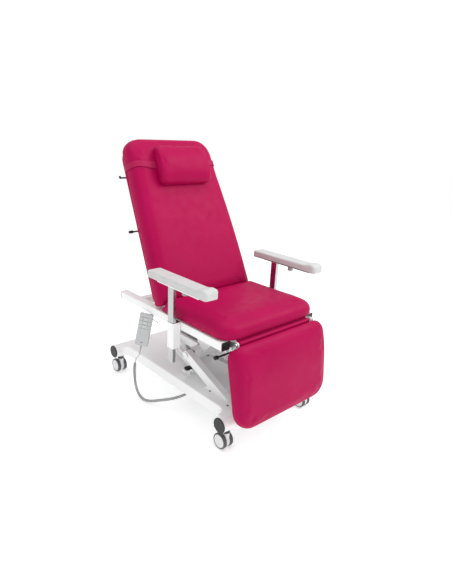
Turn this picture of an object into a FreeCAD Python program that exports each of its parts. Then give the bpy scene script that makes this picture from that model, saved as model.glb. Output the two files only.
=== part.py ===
import FreeCAD, Part
import os, math
from FreeCAD import Vector as V

os.makedirs("parts", exist_ok=True)

# ---------------------------------------------------------------- driving dimensions (mm)
DY, DZ = 57.8, -8.5     # shift that puts the origin on the floor, under the middle of the outline
# base
TUBE_R, TUBE_WALL, TUBE_Z = 39.3, 3.0, 157.5
TUBE_YF, TUBE_YR, TUBE_X = -513.0, 483.0, 347.0
PAN_X, PAN_Z0, PAN_Z1, PAN_T, PAN_FILLET = 280.0, 136.0, 198.0, 3.0, 52.0
# casters
CAST_X, WHEEL_R, WHEEL_Z, WHEEL_W, WHEEL_DX, TRAIL = 301.0, 41.5, 50.0, 20.0, 21.0, 17.0
STEM_R = 8.0
# parallelogram lift
AY, AZ = -444.0, 166.0          # lower pivot of the lift arms
BY, BZ = -78.0, 316.0           # upper pivot of the lift arms
ARM_X0, ARM_X1, ARM_H = 180.0, 218.0, 52.0
UY, UZ = 135.0, 301.0           # upper pivot of the parallel links
LINK_X0, LINK_X1, LINK_H = 138.0, 163.0, 40.0
LY, LZ = UY - (BY - AY), UZ - (BZ - AZ)
AXLE_R, PIN_B_R, PIN_L_R = 10.0, 12.0, 8.0
FIT = 0.06                      # radial running clearance
# lift actuator
LP0 = (190.0, 228.0)            # base pivot
LLUG = (AY + 100 * math.sin(math.radians(190)), AZ - 100 * math.cos(math.radians(190)))
# seat frame
RAIL_X0, RAIL_X1, RAIL_Z0, RAIL_Z1 = 282.0, 332.0, 532.0, 574.0
RAIL_Y0, RAIL_Y1, RAIL_T = -484.0, 402.0, 2.5
CROSS_YF, CROSS_YR, CROSS_W = -300.0, 250.0, 40.0
STRAP_X0, STRAP_X1, STRAP_R = 118.0, 126.0, 23.0
# seat cushion
SEAT_X = 330.0
BOARD_Z0, BOARD_Z1 = 574.0, 584.0
# backrest
BACK_TILT, BACK_Y0, BACK_Z0 = 26.5, -32.0, 600.0
BACK_T, BACK_BOARD, BACK_TUBE = 85.0, 15.0, 22.0
BACK_WB, BACK_WT, BACK_TOP = 333.0, 292.0, 940.0
BH_S, BH_D, BH_PIN = 30.0, 111.0, 6.0
PIL_W, PIL_S0, PIL_S1, PIL_T = 163.0, 661.0, 877.0, 84.0
PIL_X = 11.0                    # the pillow sits a little to one side
STRAP_S0, STRAP_S1 = 768.0, 804.0
# leg rest
LEG_TILT, LEG_HY, LEG_HZ = 11.0, -518.0, 560.0
LEG_F, LEG_R, LEG_W = -66.0, 14.0, 330.0
LEG_TOP, LEG_BOT = -5.0, -420.0
KNEE_R, KNEE_TUBE = 13.0, 8.0
# armrests
POST_X, POST_Y, POST_W, POST_D = 370.5, -153.5, 20.0, 42.0
POST_Z0, POST_Z1 = 361.0, 778.0
SLV_X, SLV_W, SLV_D, SLV_Z0, SLV_Z1, SLV_T = 358.0, 52.0, 51.0, 438.0, 577.0, 3.0
PAD_X0, PAD_X1, PAD_Y0, PAD_Y1, PAD_Z0, PAD_Z1 = 337.0, 418.0, -462.0, -5.0, 784.0, 822.0
# handset
HS_W, HS_T, HS_H = 73.0, 28.0, 188.0
HS_TURN, HS_LEAN = -43.0, 10.3
HS_EXIT = (-378.0, UY, UZ)
RELIEF_L = 46.0
# cord
LEAD_D, CURL_D = 5.0, 16.5

NODES = {}


# ---------------------------------------------------------------- helpers
def box(x0, x1, y0, y1, z0, z1):
    return Part.makeBox(x1 - x0, y1 - y0, z1 - z0, V(x0, y0, z0))


def xcyl(y, z, r, x0, x1):
    return Part.makeCylinder(r, x1 - x0, V(x0, y, z), V(1, 0, 0))


def rod(p, q, r):
    p, q = V(*p), V(*q)
    d = q.sub(p)
    return Part.makeCylinder(r, d.Length, p, d)


def rounded(pts, to3d):
    """closed wire through (a, b, radius) corners, straight runs joined by tangent arcs"""
    n = len(pts)
    starts, ends, mids = [], [], []
    for i in range(n):
        ax, ay, _ = pts[i - 1]
        bx, by, r = pts[i]
        cx, cy, _ = pts[(i + 1) % n]
        u = (ax - bx, ay - by)
        w = (cx - bx, cy - by)
        lu, lw = math.hypot(*u), math.hypot(*w)
        u = (u[0] / lu, u[1] / lu)
        w = (w[0] / lw, w[1] / lw)
        dot = max(-1.0, min(1.0, u[0] * w[0] + u[1] * w[1]))
        half = math.acos(dot) / 2
        if r <= 0 or half > math.pi / 2 - 1e-4:
            starts.append((bx, by)); ends.append((bx, by)); mids.append(None)
            continue
        t = r / math.tan(half)
        p, q = (bx + u[0] * t, by + u[1] * t), (bx + w[0] * t, by + w[1] * t)
        m = (u[0] + w[0], u[1] + w[1])
        lm = math.hypot(*m)
        c = (bx + m[0] / lm * r / math.sin(half), by + m[1] / lm * r / math.sin(half))
        mid = (c[0] - m[0] / lm * r, c[1] - m[1] / lm * r)
        starts.append(p); ends.append(q); mids.append(mid)
    edges = []
    for i in range(n):
        if mids[i] is not None:
            edges.append(Part.Arc(to3d(*starts[i]), to3d(*mids[i]), to3d(*ends[i])).toShape())
        a, b = ends[i], starts[(i + 1) % n]
        if math.hypot(a[0] - b[0], a[1] - b[1]) > 1e-6:
            edges.append(Part.LineSegment(to3d(*a), to3d(*b)).toShape())
    return Part.Wire(edges)


def prism_x(pts, x0, x1):
    f = Part.Face(rounded(pts, lambda a, b: V(x0, a, b)))
    return f.extrude(V(x1 - x0, 0, 0))


def prism_y(pts, y0, y1):
    f = Part.Face(rounded(pts, lambda a, b: V(a, y0, b)))
    return f.extrude(V(0, y1 - y0, 0))


def prism_z(pts, z0, z1):
    f = Part.Face(rounded(pts, lambda a, b: V(a, b, z0)))
    return f.extrude(V(0, 0, z1 - z0))


def stadium(p, q, r, x0, x1):
    """flat bar with round ends in a plane of constant X"""
    d = (q[0] - p[0], q[1] - p[1])
    l = math.hypot(*d)
    n = (-d[1] / l * r, d[0] / l * r)
    e = (d[0] / l * r, d[1] / l * r)
    pts = [V(x0, p[0] + n[0], p[1] + n[1]), V(x0, q[0] + n[0], q[1] + n[1]),
           V(x0, q[0] - n[0], q[1] - n[1]), V(x0, p[0] - n[0], p[1] - n[1])]
    w = Part.Wire([Part.LineSegment(pts[0], pts[1]).toShape(),
                   Part.Arc(pts[1], V(x0, q[0] + e[0], q[1] + e[1]), pts[2]).toShape(),
                   Part.LineSegment(pts[2], pts[3]).toShape(),
                   Part.Arc(pts[3], V(x0, p[0] - e[0], p[1] - e[1]), pts[0]).toShape()])
    return Part.Face(w).extrude(V(x1 - x0, 0, 0))


def both(fn):
    """a piece on the left and its mirror image on the right"""
    a = fn()
    return [a, a.mirror(V(0, 0, 0), V(1, 0, 0))]


def put(name, shapes):
    NODES[name] = shapes if isinstance(shapes, list) else [shapes]


def along(p, q, d):
    """unit vector p->q and the point at distance d"""
    l = math.hypot(q[0] - p[0], q[1] - p[1])
    u = ((q[0] - p[0]) / l, (q[1] - p[1]) / l)
    return (p[0] + u[0] * d, p[1] + u[1] * d)


# ---------------------------------------------------------------- base
def tube(yc, stems):
    t = xcyl(yc, TUBE_Z, TUBE_R, -TUBE_X, TUBE_X).cut(xcyl(yc, TUBE_Z, TUBE_R - TUBE_WALL, -TUBE_X, TUBE_X))
    for sx in (-CAST_X, CAST_X):
        t = t.cut(Part.makeCylinder(STEM_R + FIT, 40, V(sx, yc, TUBE_Z - TUBE_R - 5)))
    return t


put("base_cross_tubes", [tube(TUBE_YF, 1), tube(TUBE_YR, 1)])

caps = []
for yc in (TUBE_YF, TUBE_YR):
    for s in (-1, 1):
        c = xcyl(yc, TUBE_Z, TUBE_R, 0, 6)
        c = c.makeFillet(4.5, [e for e in c.Edges if abs(e.CenterOfMass.x - 6) < 1e-3])
        c = c.fuse(xcyl(yc, TUBE_Z, TUBE_R - TUBE_WALL, -14, 0)).removeSplitter()
        c.translate(V(TUBE_X, 0, 0))
        if s < 0:
            c = c.mirror(V(0, 0, 0), V(1, 0, 0))
        caps.append(c)
put("tube_end_caps", caps)

f = PAN_FILLET
yf, yr = TUBE_YF, TUBE_YR
yfi, yri = TUBE_YF + 34, TUBE_YR - 34


def pan_outline(ins, yin):
    x = PAN_X - ins
    xo = PAN_X + f - ins
    if yin:
        return [(x, yf + 42, 0), (x, yr - 42, 0), (-x, yr - 42, 0), (-x, yf + 42, 0)]
    return [(xo, yf, 0), (xo, yfi, 0), (x, yfi, f), (x, yri, f), (xo, yri, 0), (xo, yr, 0),
            (-xo, yr, 0), (-xo, yri, 0), (-x, yri, f), (-x, yfi, f), (-xo, yfi, 0), (-xo, yf, 0)]


pan = prism_z(pan_outline(0, False), PAN_Z0, PAN_Z1)
top_edges = [e for e in pan.Edges if abs(e.BoundBox.ZMin - PAN_Z1) < 1e-3 and abs(e.BoundBox.ZMax - PAN_Z1) < 1e-3
             and yfi - 1 < e.CenterOfMass.y < yri + 1 and abs(e.CenterOfMass.x) > 100]
pan = pan.makeFillet(7.0, top_edges)
pan = pan.cut(prism_z(pan_outline(PAN_T, True), PAN_Z0 - 5, PAN_Z1 - PAN_T))
for yc in (TUBE_YF, TUBE_YR):
    pan = pan.cut(xcyl(yc, TUBE_Z, TUBE_R, -400, 400))
    pan = pan.cut(box(-400, 400, yc - 60 if yc < 0 else yc, yc if yc < 0 else yc + 60, 100, 240))
    pan = pan.cut(box(-400, 400, yc, yc + 36, 100, TUBE_Z - 4) if yc < 0 else box(-400, 400, yc - 36, yc, 100, TUBE_Z - 4))
# slots for the arms, the links and the actuator lug, bores for the axle
for s in (-1, 1):
    a0, a1 = sorted((s * 177, s * 222))
    pan = pan.cut(box(a0, a1, -474, -246, PAN_Z1 - 20, PAN_Z1 + 5))
    a0, a1 = sorted((s * 135, s * 166.5))
    pan = pan.cut(box(a0, a1, -258, -24, PAN_Z1 - 20, PAN_Z1 + 5))
pan = pan.cut(box(-36, 36, -504, -372, PAN_Z1 - 20, PAN_Z1 + 5))
pan = pan.cut(box(-36, 36, -504, -468, PAN_Z0 - 1, PAN_Z1 + 5))
pan = pan.cut(xcyl(AY, AZ, AXLE_R, -300, 300))
for x0 in (-340, PAN_X):
    pan = pan.cut(xcyl(AY, AZ, 15.6, x0, x0 + 60))
solids = sorted(pan.Solids, key=lambda s: -s.Volume)
pan = solids[0]
put("base_pan", pan)

axle = xcyl(AY, AZ, AXLE_R, -PAN_X, PAN_X)
for s in (-1, 1):
    d = xcyl(AY, AZ, 15.0, 0, 6)
    d = d.makeFillet(4.0, [e for e in d.Edges if abs(e.CenterOfMass.x - 6) < 1e-3])
    d.translate(V(PAN_X, 0, 0))
    if s < 0:
        d = d.mirror(V(0, 0, 0), V(1, 0, 0))
    axle = axle.fuse(d)
put("lift_axle", axle.removeSplitter())

ZB = PAN_Z1 - PAN_T
brk = []
brk += both(lambda: box(225, 233, AY - 25, AY + 30, 140, ZB).cut(xcyl(AY, AZ, AXLE_R, 200, 260)))
brk += both(lambda: box(124, 133, LY - 26, LY + 26, 140, ZB).cut(xcyl(LY, LZ, PIN_L_R, 100, 140)))
brk += both(lambda: xcyl(LY, LZ, PIN_L_R, 124, 166))
for s in (-1, 1):
    x0, x1 = sorted((s * 22, s * 28))
    brk.append(prism_x([(LP0[0] - 30, PAN_Z1, 0), (LP0[0] + 30, PAN_Z1, 0), (LP0[0] + 14, LP0[1] + 14, 12), (LP0[0] - 14, LP0[1] + 14, 12)], x0, x1)
               .cut(xcyl(LP0[0], LP0[1], 6, -40, 40)))
brk.append(xcyl(LP0[0], LP0[1], 6, -28, 28))
# buffer brackets beside the arms' upper ends
brk += both(lambda: box(200, 240, -104, -60, PAN_Z1, PAN_Z1 + 4))
brk += both(lambda: box(202, 206, -100, -64, PAN_Z1 + 4, PAN_Z1 + 32))
brk += both(lambda: box(206, 234, -100, -64, PAN_Z1 + 26, PAN_Z1 + 32))
put("pivot_brackets", brk)

bp = box(184, 222, -98, -66, PAN_Z1 + 32, PAN_Z1 + 44)
bp = bp.makeFillet(4.0, bp.Edges)
put("buffer_pads", both(lambda: bp))

cb = box(-108, 108, -196, -10, 130, ZB)
cb = cb.makeFillet(6.0, [e for e in cb.Edges if e.BoundBox.ZLength > 20])
GL_Y, GL_Z = -150.0, 146.0
gl = Part.makeCone(12.0, CURL_D / 2 + 1.0, 26.0, V(-108, GL_Y, GL_Z), V(-1, 0, 0))
put("control_box", cb.fuse(gl).removeSplitter())

scr = []
for (x, y) in ((-248, -459), (-250, -120), (-250, 200), (-248, 420), (-100, 440), (-229, -300)):
    for s in (-1, 1):
        c = Part.makeCylinder(6.0, 3.2, V(s * x, y, PAN_Z1))
        scr.append(c.makeFillet(1.4, [e for e in c.Edges if abs(e.CenterOfMass.z - PAN_Z1 - 3.2) < 1e-3]))
put("base_screws", scr)

# ---------------------------------------------------------------- casters
for tag, sx, yc in (("front_left", -CAST_X, TUBE_YF), ("front_right", CAST_X, TUBE_YF),
                    ("rear_left", -CAST_X, TUBE_YR), ("rear_right", CAST_X, TUBE_YR)):
    wy = yc + TRAIL
    hood = xcyl(wy, WHEEL_Z, 37.0, sx - 10.5, sx + 10.5)
    neck = box(sx - 10.5, sx + 10.5, yc - 14, yc + 20, 66, 103)
    collar = Part.makeCylinder(18.0, 14.5, V(sx, yc, 103))
    collar = collar.makeFillet(2.0, [e for e in collar.Edges if abs(e.CenterOfMass.z - 103) < 1e-3])
    stem = Part.makeCylinder(STEM_R, 26, V(sx, yc, 116))
    ax = xcyl(wy, WHEEL_Z, 5.0, sx - 27, sx + 27)
    fork = hood.fuse([neck, collar, stem, ax])
    if tag.startswith("front"):
        ear = box(sx - 10.5, sx + 10.5, yc + 10, yc + 30, 96, 110)
        fork = fork.fuse([ear, xcyl(yc + 27, 106, 2.5, sx - 16, sx + 16)])
        ped = xcyl(yc + 27, 106, 5.0, sx - 16, sx + 16)
        tongue = box(sx - 16, sx + 16, yc + 33, yc + 76, 104, 109)
        tongue = tongue.makeFillet(2.0, tongue.Edges)
        arms = box(sx - 16, sx + 16, yc + 27, yc + 40, 104.2, 108.8)
        ped = ped.fuse(arms).cut(box(sx - 11.0, sx + 11.0, yc + 15, yc + 33, 90, 120))
        ped = ped.fuse(tongue).cut(xcyl(yc + 27, 106, 2.5 + FIT, sx - 20, sx + 20))
        ped.rotate(V(sx, yc + 27, 106), V(1, 0, 0), -10)
        put("brake_pedal_" + tag, ped.removeSplitter())
    put("caster_fork_" + tag, fork.removeSplitter())
    wheels = []
    for s in (-1, 1):
        cx = sx + s * WHEEL_DX
        w = xcyl(wy, WHEEL_Z, WHEEL_R, cx - WHEEL_W / 2, cx + WHEEL_W / 2)
        w = w.makeFillet(4.0, w.Edges[:0] or [e for e in w.Edges if e.Length > 200 and len(e.Vertexes) == 1])
        b0, b1 = (cx - WHEEL_W / 2 - 1, cx + WHEEL_W / 2 - 3) if s > 0 else (cx - WHEEL_W / 2 + 3, cx + WHEEL_W / 2 + 1)
        w = w.cut(xcyl(wy, WHEEL_Z, 5.0 + FIT, b0, b1))
        wheels.append(w)
    put("caster_wheels_" + tag, wheels)

# ---------------------------------------------------------------- lift arms and parallel links
arms = both(lambda: stadium((AY, AZ), (BY, BZ), ARM_H / 2, ARM_X0, ARM_X1)
            .cut(xcyl(AY, AZ, AXLE_R + FIT, 100, 300)).cut(xcyl(BY, BZ, PIN_B_R + FIT, 100, 300)))
tors = xcyl(AY, AZ, 20.0, -ARM_X0, ARM_X0).cut(xcyl(AY, AZ, AXLE_R + FIT, -300, 300))
lugs = []
for s in (-1, 1):
    x0, x1 = sorted((s * 15, s * 21))
    lugs.append(stadium((AY, AZ), LLUG, 15.0, x0, x1).cut(xcyl(AY, AZ, 20.0, -60, 60)))
put("lift_arms", arms + [tors] + lugs + [xcyl(LLUG[0], LLUG[1], 4.0, -15, 15)])
put("parallel_links", both(lambda: stadium((LY, LZ), (UY, UZ), LINK_H / 2, LINK_X0, LINK_X1)
                           .cut(xcyl(LY, LZ, PIN_L_R + FIT, 100, 300)).cut(xcyl(UY, UZ, PIN_L_R + FIT, 100, 300))))


def actuator(p0, p1, xc, body_len, body_r, rod_r, eye_w, eye_r, pin0, eye1_r, pin1, tip_gap):
    """cylinder with a rear eye at p0, and its rod with an oversize front eye at p1; built along +Y then turned"""
    l = math.hypot(p1[0] - p0[0], p1[1] - p0[1])
    ang = math.degrees(math.atan2(p1[1] - p0[1], p1[0] - p0[0]))
    eye = xcyl(0, 0, eye_r, -eye_w, eye_w)
    cylb = Part.makeCylinder(body_r, body_len - eye_r * 0.7, V(0, eye_r * 0.7, 0), V(0, 1, 0))
    bore = Part.makeCylinder(rod_r + FIT, body_len, V(0, eye_r + 26, 0), V(0, 1, 0))
    cylb = eye.fuse(cylb).cut(bore).cut(xcyl(0, 0, pin0 + FIT, -60, 60))
    start = eye_r + 28 + tip_gap
    r = Part.makeCylinder(rod_r, l - start - eye1_r * 0.6, V(0, start, 0), V(0, 1, 0))
    r = r.fuse(xcyl(l, 0, eye1_r, -eye_w * 0.68, eye_w * 0.68)).cut(xcyl(l, 0, pin1, -60, 60))
    return cylb.removeSplitter(), r.removeSplitter(), l, ang


def place(shape, p0, ang, xc):
    s = shape.copy()
    s.rotate(V(0, 0, 0), V(1, 0, 0), ang)
    s.translate(V(xc, p0[0], p0[1]))
    return s


# lift actuator with a motor housing on top
cb_, rd_, l_, a_ = actuator(LP0, LLUG, 0, 208.0, 19.0, 11.0, 19.0, 16.0, 6.0, 13.0, 8.5, 12.0)
# the actuator points forward (-Y): its upper side is local -Z, so the motor is built at negative local Z
mot = Part.makeBox(74, 98, 74, V(-52, -16, -98))
mot = mot.makeFillet(9.0, mot.Edges)
mneck = box(-14, 14, 22, 70, -30, -10)
cb_ = cb_.fuse([mot, mneck]).cut(Part.makeCylinder(11.0 + FIT, 208, V(0, 42, 0), V(0, 1, 0)))
put("lift_actuator", place(cb_.removeSplitter(), LP0, a_, 0))
put("lift_rod", place(rd_, LP0, a_, 0))

# ---------------------------------------------------------------- seat frame


def rail_length(y0, y1):
    r = box(RAIL_X0, RAIL_X1, y0, y1, RAIL_Z0, RAIL_Z1)
    r = r.makeFillet(4.0, [e for e in r.Edges if e.BoundBox.YLength > 100])
    return r.cut(box(RAIL_X0 + RAIL_T, RAIL_X1 - RAIL_T, y0 - 1, y1 + 1, RAIL_Z0 + RAIL_T, RAIL_Z1 - RAIL_T))


def rail():
    """one tube; its faces stay divided at the edge of the accessory length behind the armrest"""
    return rail_length(RAIL_Y0, -100).fuse(rail_length(-100, RAIL_Y1))


put("seat_rails", both(rail))


def rail_cap(y0, out):
    c = box(RAIL_X0, RAIL_X1, y0, y0 + 3.0, RAIL_Z0, RAIL_Z1)
    c = c.makeFillet(4.0, [e for e in c.Edges if e.BoundBox.YLength > 2])
    i0 = y0 + 3.0 if out < 0 else y0 - 16.0
    p = box(RAIL_X0 + RAIL_T, RAIL_X1 - RAIL_T, i0, i0 + 16.0, RAIL_Z0 + RAIL_T, RAIL_Z1 - RAIL_T)
    return c.fuse(p).removeSplitter()


put("rail_end_caps", both(lambda: rail_cap(RAIL_Y0 - 3, -1)) + both(lambda: rail_cap(RAIL_Y1, 1)))

# backrest frame maths
ca, sa = math.cos(math.radians(BACK_TILT)), math.sin(math.radians(BACK_TILT))


def back_pt(s, d):
    return (BACK_Y0 + s * sa + d * ca, BACK_Z0 + s * ca - d * sa)


def back(shape):
    q = shape.copy()
    q.rotate(V(0, 0, 0), V(1, 0, 0), -BACK_TILT)
    q.translate(V(0, BACK_Y0, BACK_Z0))
    return q


HB = back_pt(BH_S, BH_D)
BLUG = (HB[0] + 70 * math.sin(math.radians(60)), HB[1] - 70 * math.cos(math.radians(60)))
BP0 = (-210.0, 490.0)
BACT_X = 45.0
cl, sl = math.cos(math.radians(LEG_TILT)), math.sin(math.radians(LEG_TILT))


def leg_pt(y, z):
    return (LEG_HY + y * cl + z * sl, LEG_HZ - y * sl + z * cl)


def leg(shape):
    q = shape.copy()
    q.rotate(V(0, 0, 0), V(1, 0, 0), -LEG_TILT)
    q.translate(V(0, LEG_HY, LEG_HZ))
    return q


GP0 = (-304.0, 515.0)
GLUG = (LEG_HY + 60 * math.sin(math.radians(10)), LEG_HZ - 60 * math.cos(math.radians(10)))
LEGS_X = -55.0

front_cross = box(-RAIL_X0, RAIL_X0, CROSS_YF - CROSS_W / 2, CROSS_YF + CROSS_W / 2, 534, 572)
rear_cross = box(-RAIL_X0, RAIL_X0, CROSS_YR - CROSS_W / 2, CROSS_YR + CROSS_W / 2, 534, 572)
beam = box(-176, 176, BY - 26, BY + 26, BZ - 27, BZ + 27)
beam = beam.makeFillet(4.0, [e for e in beam.Edges if e.BoundBox.XLength > 100])
sub = [front_cross, rear_cross, beam]
# pivot pins of the arms, with heads outside
sub += both(lambda: xcyl(BY, BZ, PIN_B_R, 176, 220).fuse(xcyl(BY, BZ, 19.0, 220, 226)).removeSplitter())
# hangers between the beam, the links' pivots and the cross tubes
sub += both(lambda: stadium((BY, BZ), (CROSS_YF, 553), STRAP_R, STRAP_X0, STRAP_X1).cut(beam).cut(front_cross)
            .cut(box(100, 140, -420, 0, 573, 700)).Solids[0])
sub += both(lambda: sorted(stadium((UY, UZ), (CROSS_YR, 553), STRAP_R, STRAP_X0, STRAP_X1).cut(rear_cross)
            .cut(box(100, 140, 100, 420, 573, 700)).Solids, key=lambda q: -q.Volume)[0].cut(xcyl(UY, UZ, PIN_L_R, 100, 140)))
sub += both(lambda: xcyl(UY, UZ, PIN_L_R, STRAP_X0, 166))
# bars that join the beam to the links' hangers
sub += both(lambda: box(104, STRAP_X0, BY + 26, UY + STRAP_R, 306, 352))
# knee tube and its end plates on the rails
sub.append(xcyl(LEG_HY, LEG_HZ, KNEE_TUBE, -282, 282))
sub += both(lambda: stadium((LEG_HY, LEG_HZ), (-462, 553), 13.0, 274, 282).cut(xcyl(LEG_HY, LEG_HZ, KNEE_TUBE, 200, 300)))
# backrest hinge stands on the rails
sub += both(lambda: box(262, 282, HB[0] - 9, HB[0] + 9, 536, HB[1]).fuse(xcyl(HB[0], HB[1], 10.4, 262, 282))
            .cut(xcyl(HB[0], HB[1], BH_PIN + FIT, 200, 300)).removeSplitter())
# brackets of the backrest actuator and of the leg-rest gas spring
for s in (-1, 1):
    x0, x1 = sorted((BACT_X + s * 21, BACT_X + s * 26))
    sub.append(sorted(stadium((CROSS_YF + 8, 553), BP0, 13.0, x0, x1).cut(front_cross).cut(xcyl(BP0[0], BP0[1], 6, -200, 200))
               .cut(box(-200, 200, -420, 0, 572, 700)).Solids, key=lambda q: -q.Volume)[0])
    x0, x1 = sorted((LEGS_X + s * 16, LEGS_X + s * 20))
    sub.append(sorted(stadium((CROSS_YF, 553), GP0, 11.0, x0, x1).cut(front_cross).cut(xcyl(GP0[0], GP0[1], 5, -200, 200)).Solids,
               key=lambda q: -q.Volume)[0])
sub.append(xcyl(BP0[0], BP0[1], 6, BACT_X - 26, BACT_X + 26))
sub.append(xcyl(GP0[0], GP0[1], 5, LEGS_X - 20, LEGS_X + 20))
# guides of the leg-rest release rod
LVY, LVZ = -391.0, 447.0
for x0 in (-96.0, -176.0):
    sub.append(sorted(stadium((CROSS_YF - 4, 553), (LVY, LVZ), 13.0, x0, x0 + 6).cut(front_cross).cut(box(-300, 0, -420, 0, 572, 700))
               .cut(xcyl(LVY, LVZ, 5.0 + FIT, -300, 0)).Solids, key=lambda q: -q.Volume)[0])
put("seat_subframe", sub)

knob = xcyl(LVY, LVZ, 10.0, -292, -262)
knob = knob.makeFillet(8.0, [e for e in knob.Edges if len(e.Vertexes) == 1])
put("leg_release_rod", xcyl(LVY, LVZ, 5.0, -266, -70).fuse(knob).removeSplitter())

board = prism_z([(-296, -470, 60), (296, -470, 60), (296, -62, 20), (-296, -62, 20)], BOARD_Z0, BOARD_Z1)
put("seat_board", board)
cush = prism_x([(8, BOARD_Z1, 2), (-490, BOARD_Z1, 14), (-514, 604, 12), (-482, 648, 34), (-330, 661, 200), (-16, 648, 14), (-38, 606, 6), (8, 589, 2)], -SEAT_X, SEAT_X)
cush = cush.cut(prism_z([(-400, -700, 0), (400, -700, 0), (400, 100, 0), (-400, 100, 0)], 500, 700)
                .cut(prism_z([(-SEAT_X, -700, 0), (SEAT_X, -700, 0), (SEAT_X, 100, 0), (-SEAT_X, 100, 0)], 400, 800)))
put("seat_cushion", cush)
put("knee_roll", xcyl(LEG_HY, LEG_HZ, KNEE_R, -256, 256).cut(xcyl(LEG_HY, LEG_HZ, KNEE_TUBE, -300, 300)))

# armrest sleeves, welded flat on the outside of the rails
slx0, slx1 = SLV_X - SLV_W / 2, SLV_X + SLV_W / 2
sly0, sly1 = POST_Y - SLV_D / 2, POST_Y + SLV_D / 2


def sleeve():
    o = box(slx0, slx1, sly0, sly1, SLV_Z0, SLV_Z1)
    o = o.makeFillet(8.0, [e for e in o.Edges if e.BoundBox.ZLength > 100])
    return o.cut(box(slx0 + SLV_T, slx1 - SLV_T, sly0 + SLV_T, sly1 - SLV_T, SLV_Z0 - 1, SLV_Z1 + 1))


put("armrest_sleeves", both(sleeve))


def bush(z0, z1):
    """fills the sleeve on the inner side; the post runs against the outer wall"""
    b = box(slx0 + SLV_T, slx1 - SLV_T, sly0 + SLV_T, sly1 - SLV_T, z0, z1)
    g = FIT
    return b.cut(box(POST_X - POST_W / 2 - g, slx1, POST_Y - POST_D / 2 - g, POST_Y + POST_D / 2 + g, z0 - 1, z1 + 9))


put("sleeve_bushes", both(lambda: bush(SLV_Z1 - 30, SLV_Z1 + 1)) + both(lambda: bush(SLV_Z0, SLV_Z0 + 24)))

# ---------------------------------------------------------------- armrests
for tag, s in (("left", -1), ("right", 1)):
    def mir(q):
        return q.mirror(V(0, 0, 0), V(1, 0, 0)) if s < 0 else q
    o = box(POST_X - POST_W / 2, POST_X + POST_W / 2, POST_Y - POST_D / 2, POST_Y + POST_D / 2, POST_Z0 + 4, POST_Z1)
    i = box(POST_X - POST_W / 2 + 2, POST_X + POST_W / 2 - 2, POST_Y - POST_D / 2 + 2, POST_Y + POST_D / 2 - 2, POST_Z0, POST_Z1 + 1)
    plug = box(POST_X - POST_W / 2, POST_X + POST_W / 2, POST_Y - POST_D / 2, POST_Y + POST_D / 2, POST_Z0, POST_Z0 + 4)
    plug = plug.fuse(box(POST_X - POST_W / 2 + 2, POST_X + POST_W / 2 - 2, POST_Y - POST_D / 2 + 2, POST_Y + POST_D / 2 - 2, POST_Z0 + 4, POST_Z0 + 18)).removeSplitter()
    put("armrest_post_" + tag, [mir(o.cut(i)), mir(plug)])
    KY = -266.0
    plate = prism_z([(354, -404, 8), (410, -404, 8), (410, -78, 8), (354, -78, 8)], POST_Z1, PAD_Z0)
    plate = plate.cut(prism_z([(378 - 4.2, KY - 40, 4.1), (378 + 4.2, KY - 40, 4.1), (378 + 4.2, KY + 40, 4.1), (378 - 4.2, KY + 40, 4.1)], POST_Z1 - 5, PAD_Z0 + 5))
    put("armrest_plate_" + tag, mir(plate))
    pad = prism_x([(PAD_Y1, PAD_Z0 + 0.3, 6), (PAD_Y0, PAD_Z0 + 0.3, 10), (PAD_Y0, 826, 20), (-432, 842, 30), (-372, PAD_Z1, 60), (PAD_Y1, PAD_Z1, 16)], PAD_X0, PAD_X1)
    pad = pad.cut(Part.makeCylinder(4.0 + FIT, 16, V(378, KY, PAD_Z0 - 1)))
    put("armrest_pad_" + tag, mir(pad))
    kn = Part.makeCylinder(15.0, 24.0, V(378, KY, POST_Z1 - 24.3))
    kn = kn.makeFillet(3.0, [e for e in kn.Edges if len(e.Vertexes) == 1])
    for k in range(8):
        a = math.radians(45 * k)
        kn = kn.cut(Part.makeCylinder(3.0, 30, V(378 + 16.4 * math.cos(a), KY + 16.4 * math.sin(a), POST_Z1 - 27)))
    kn = kn.fuse(Part.makeCylinder(4.0, 20.0, V(378, KY, POST_Z1 - 8)))
    put("armrest_knob_" + tag, mir(kn.removeSplitter()))

# ---------------------------------------------------------------- backrest
w = [(-BACK_WB, 22, 44), (BACK_WB, 22, 44), (BACK_WT, BACK_TOP, 110), (-BACK_WT, BACK_TOP, 110)]
bc = prism_y(w, 0, BACK_T)
bc = bc.makeFillet(38.0, [e for e in bc.Edges if e.BoundBox.YMax < 1e-3])
put("back_cushion", back(bc))
wi = [(-BACK_WB + 10, 36, 36), (BACK_WB - 10, 36, 36), (BACK_WT - 10, BACK_TOP - 10, 102), (-BACK_WT + 10, BACK_TOP - 10, 102)]
put("back_board", back(prism_y(wi, BACK_T, BACK_T + BACK_BOARD)))
D0 = BACK_T + BACK_BOARD
D1 = D0 + BACK_TUBE
frame = []
for s in (-1, 1):
    x0, x1 = sorted((s * 224, s * 246))
    frame.append(box(x0, x1, D0, D1, -2, 738))
for s0 in (40, 445, 716):
    frame.append(box(-224, 224, D0, D1, s0, s0 + 22))
frame = [back(q) for q in frame]
frame += both(lambda: xcyl(HB[0], HB[1], BH_PIN, 246, 281.5))
low_tube = back(box(-224, 224, D0, D1, 40, 62))
lt = back_pt(51, D0 + 11)
for s in (-1, 1):
    x0, x1 = sorted((BACT_X + s * 15, BACT_X + s * 20))
    q = stadium(lt, BLUG, 13.0, x0, x1).cut(low_tube).cut(back(box(-300, 300, 0, D0, -60, 200)))
    frame.append(sorted(q.Solids, key=lambda z: -z.Volume)[0])
frame.append(xcyl(BLUG[0], BLUG[1], 4.0, BACT_X - 15, BACT_X + 15))
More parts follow.
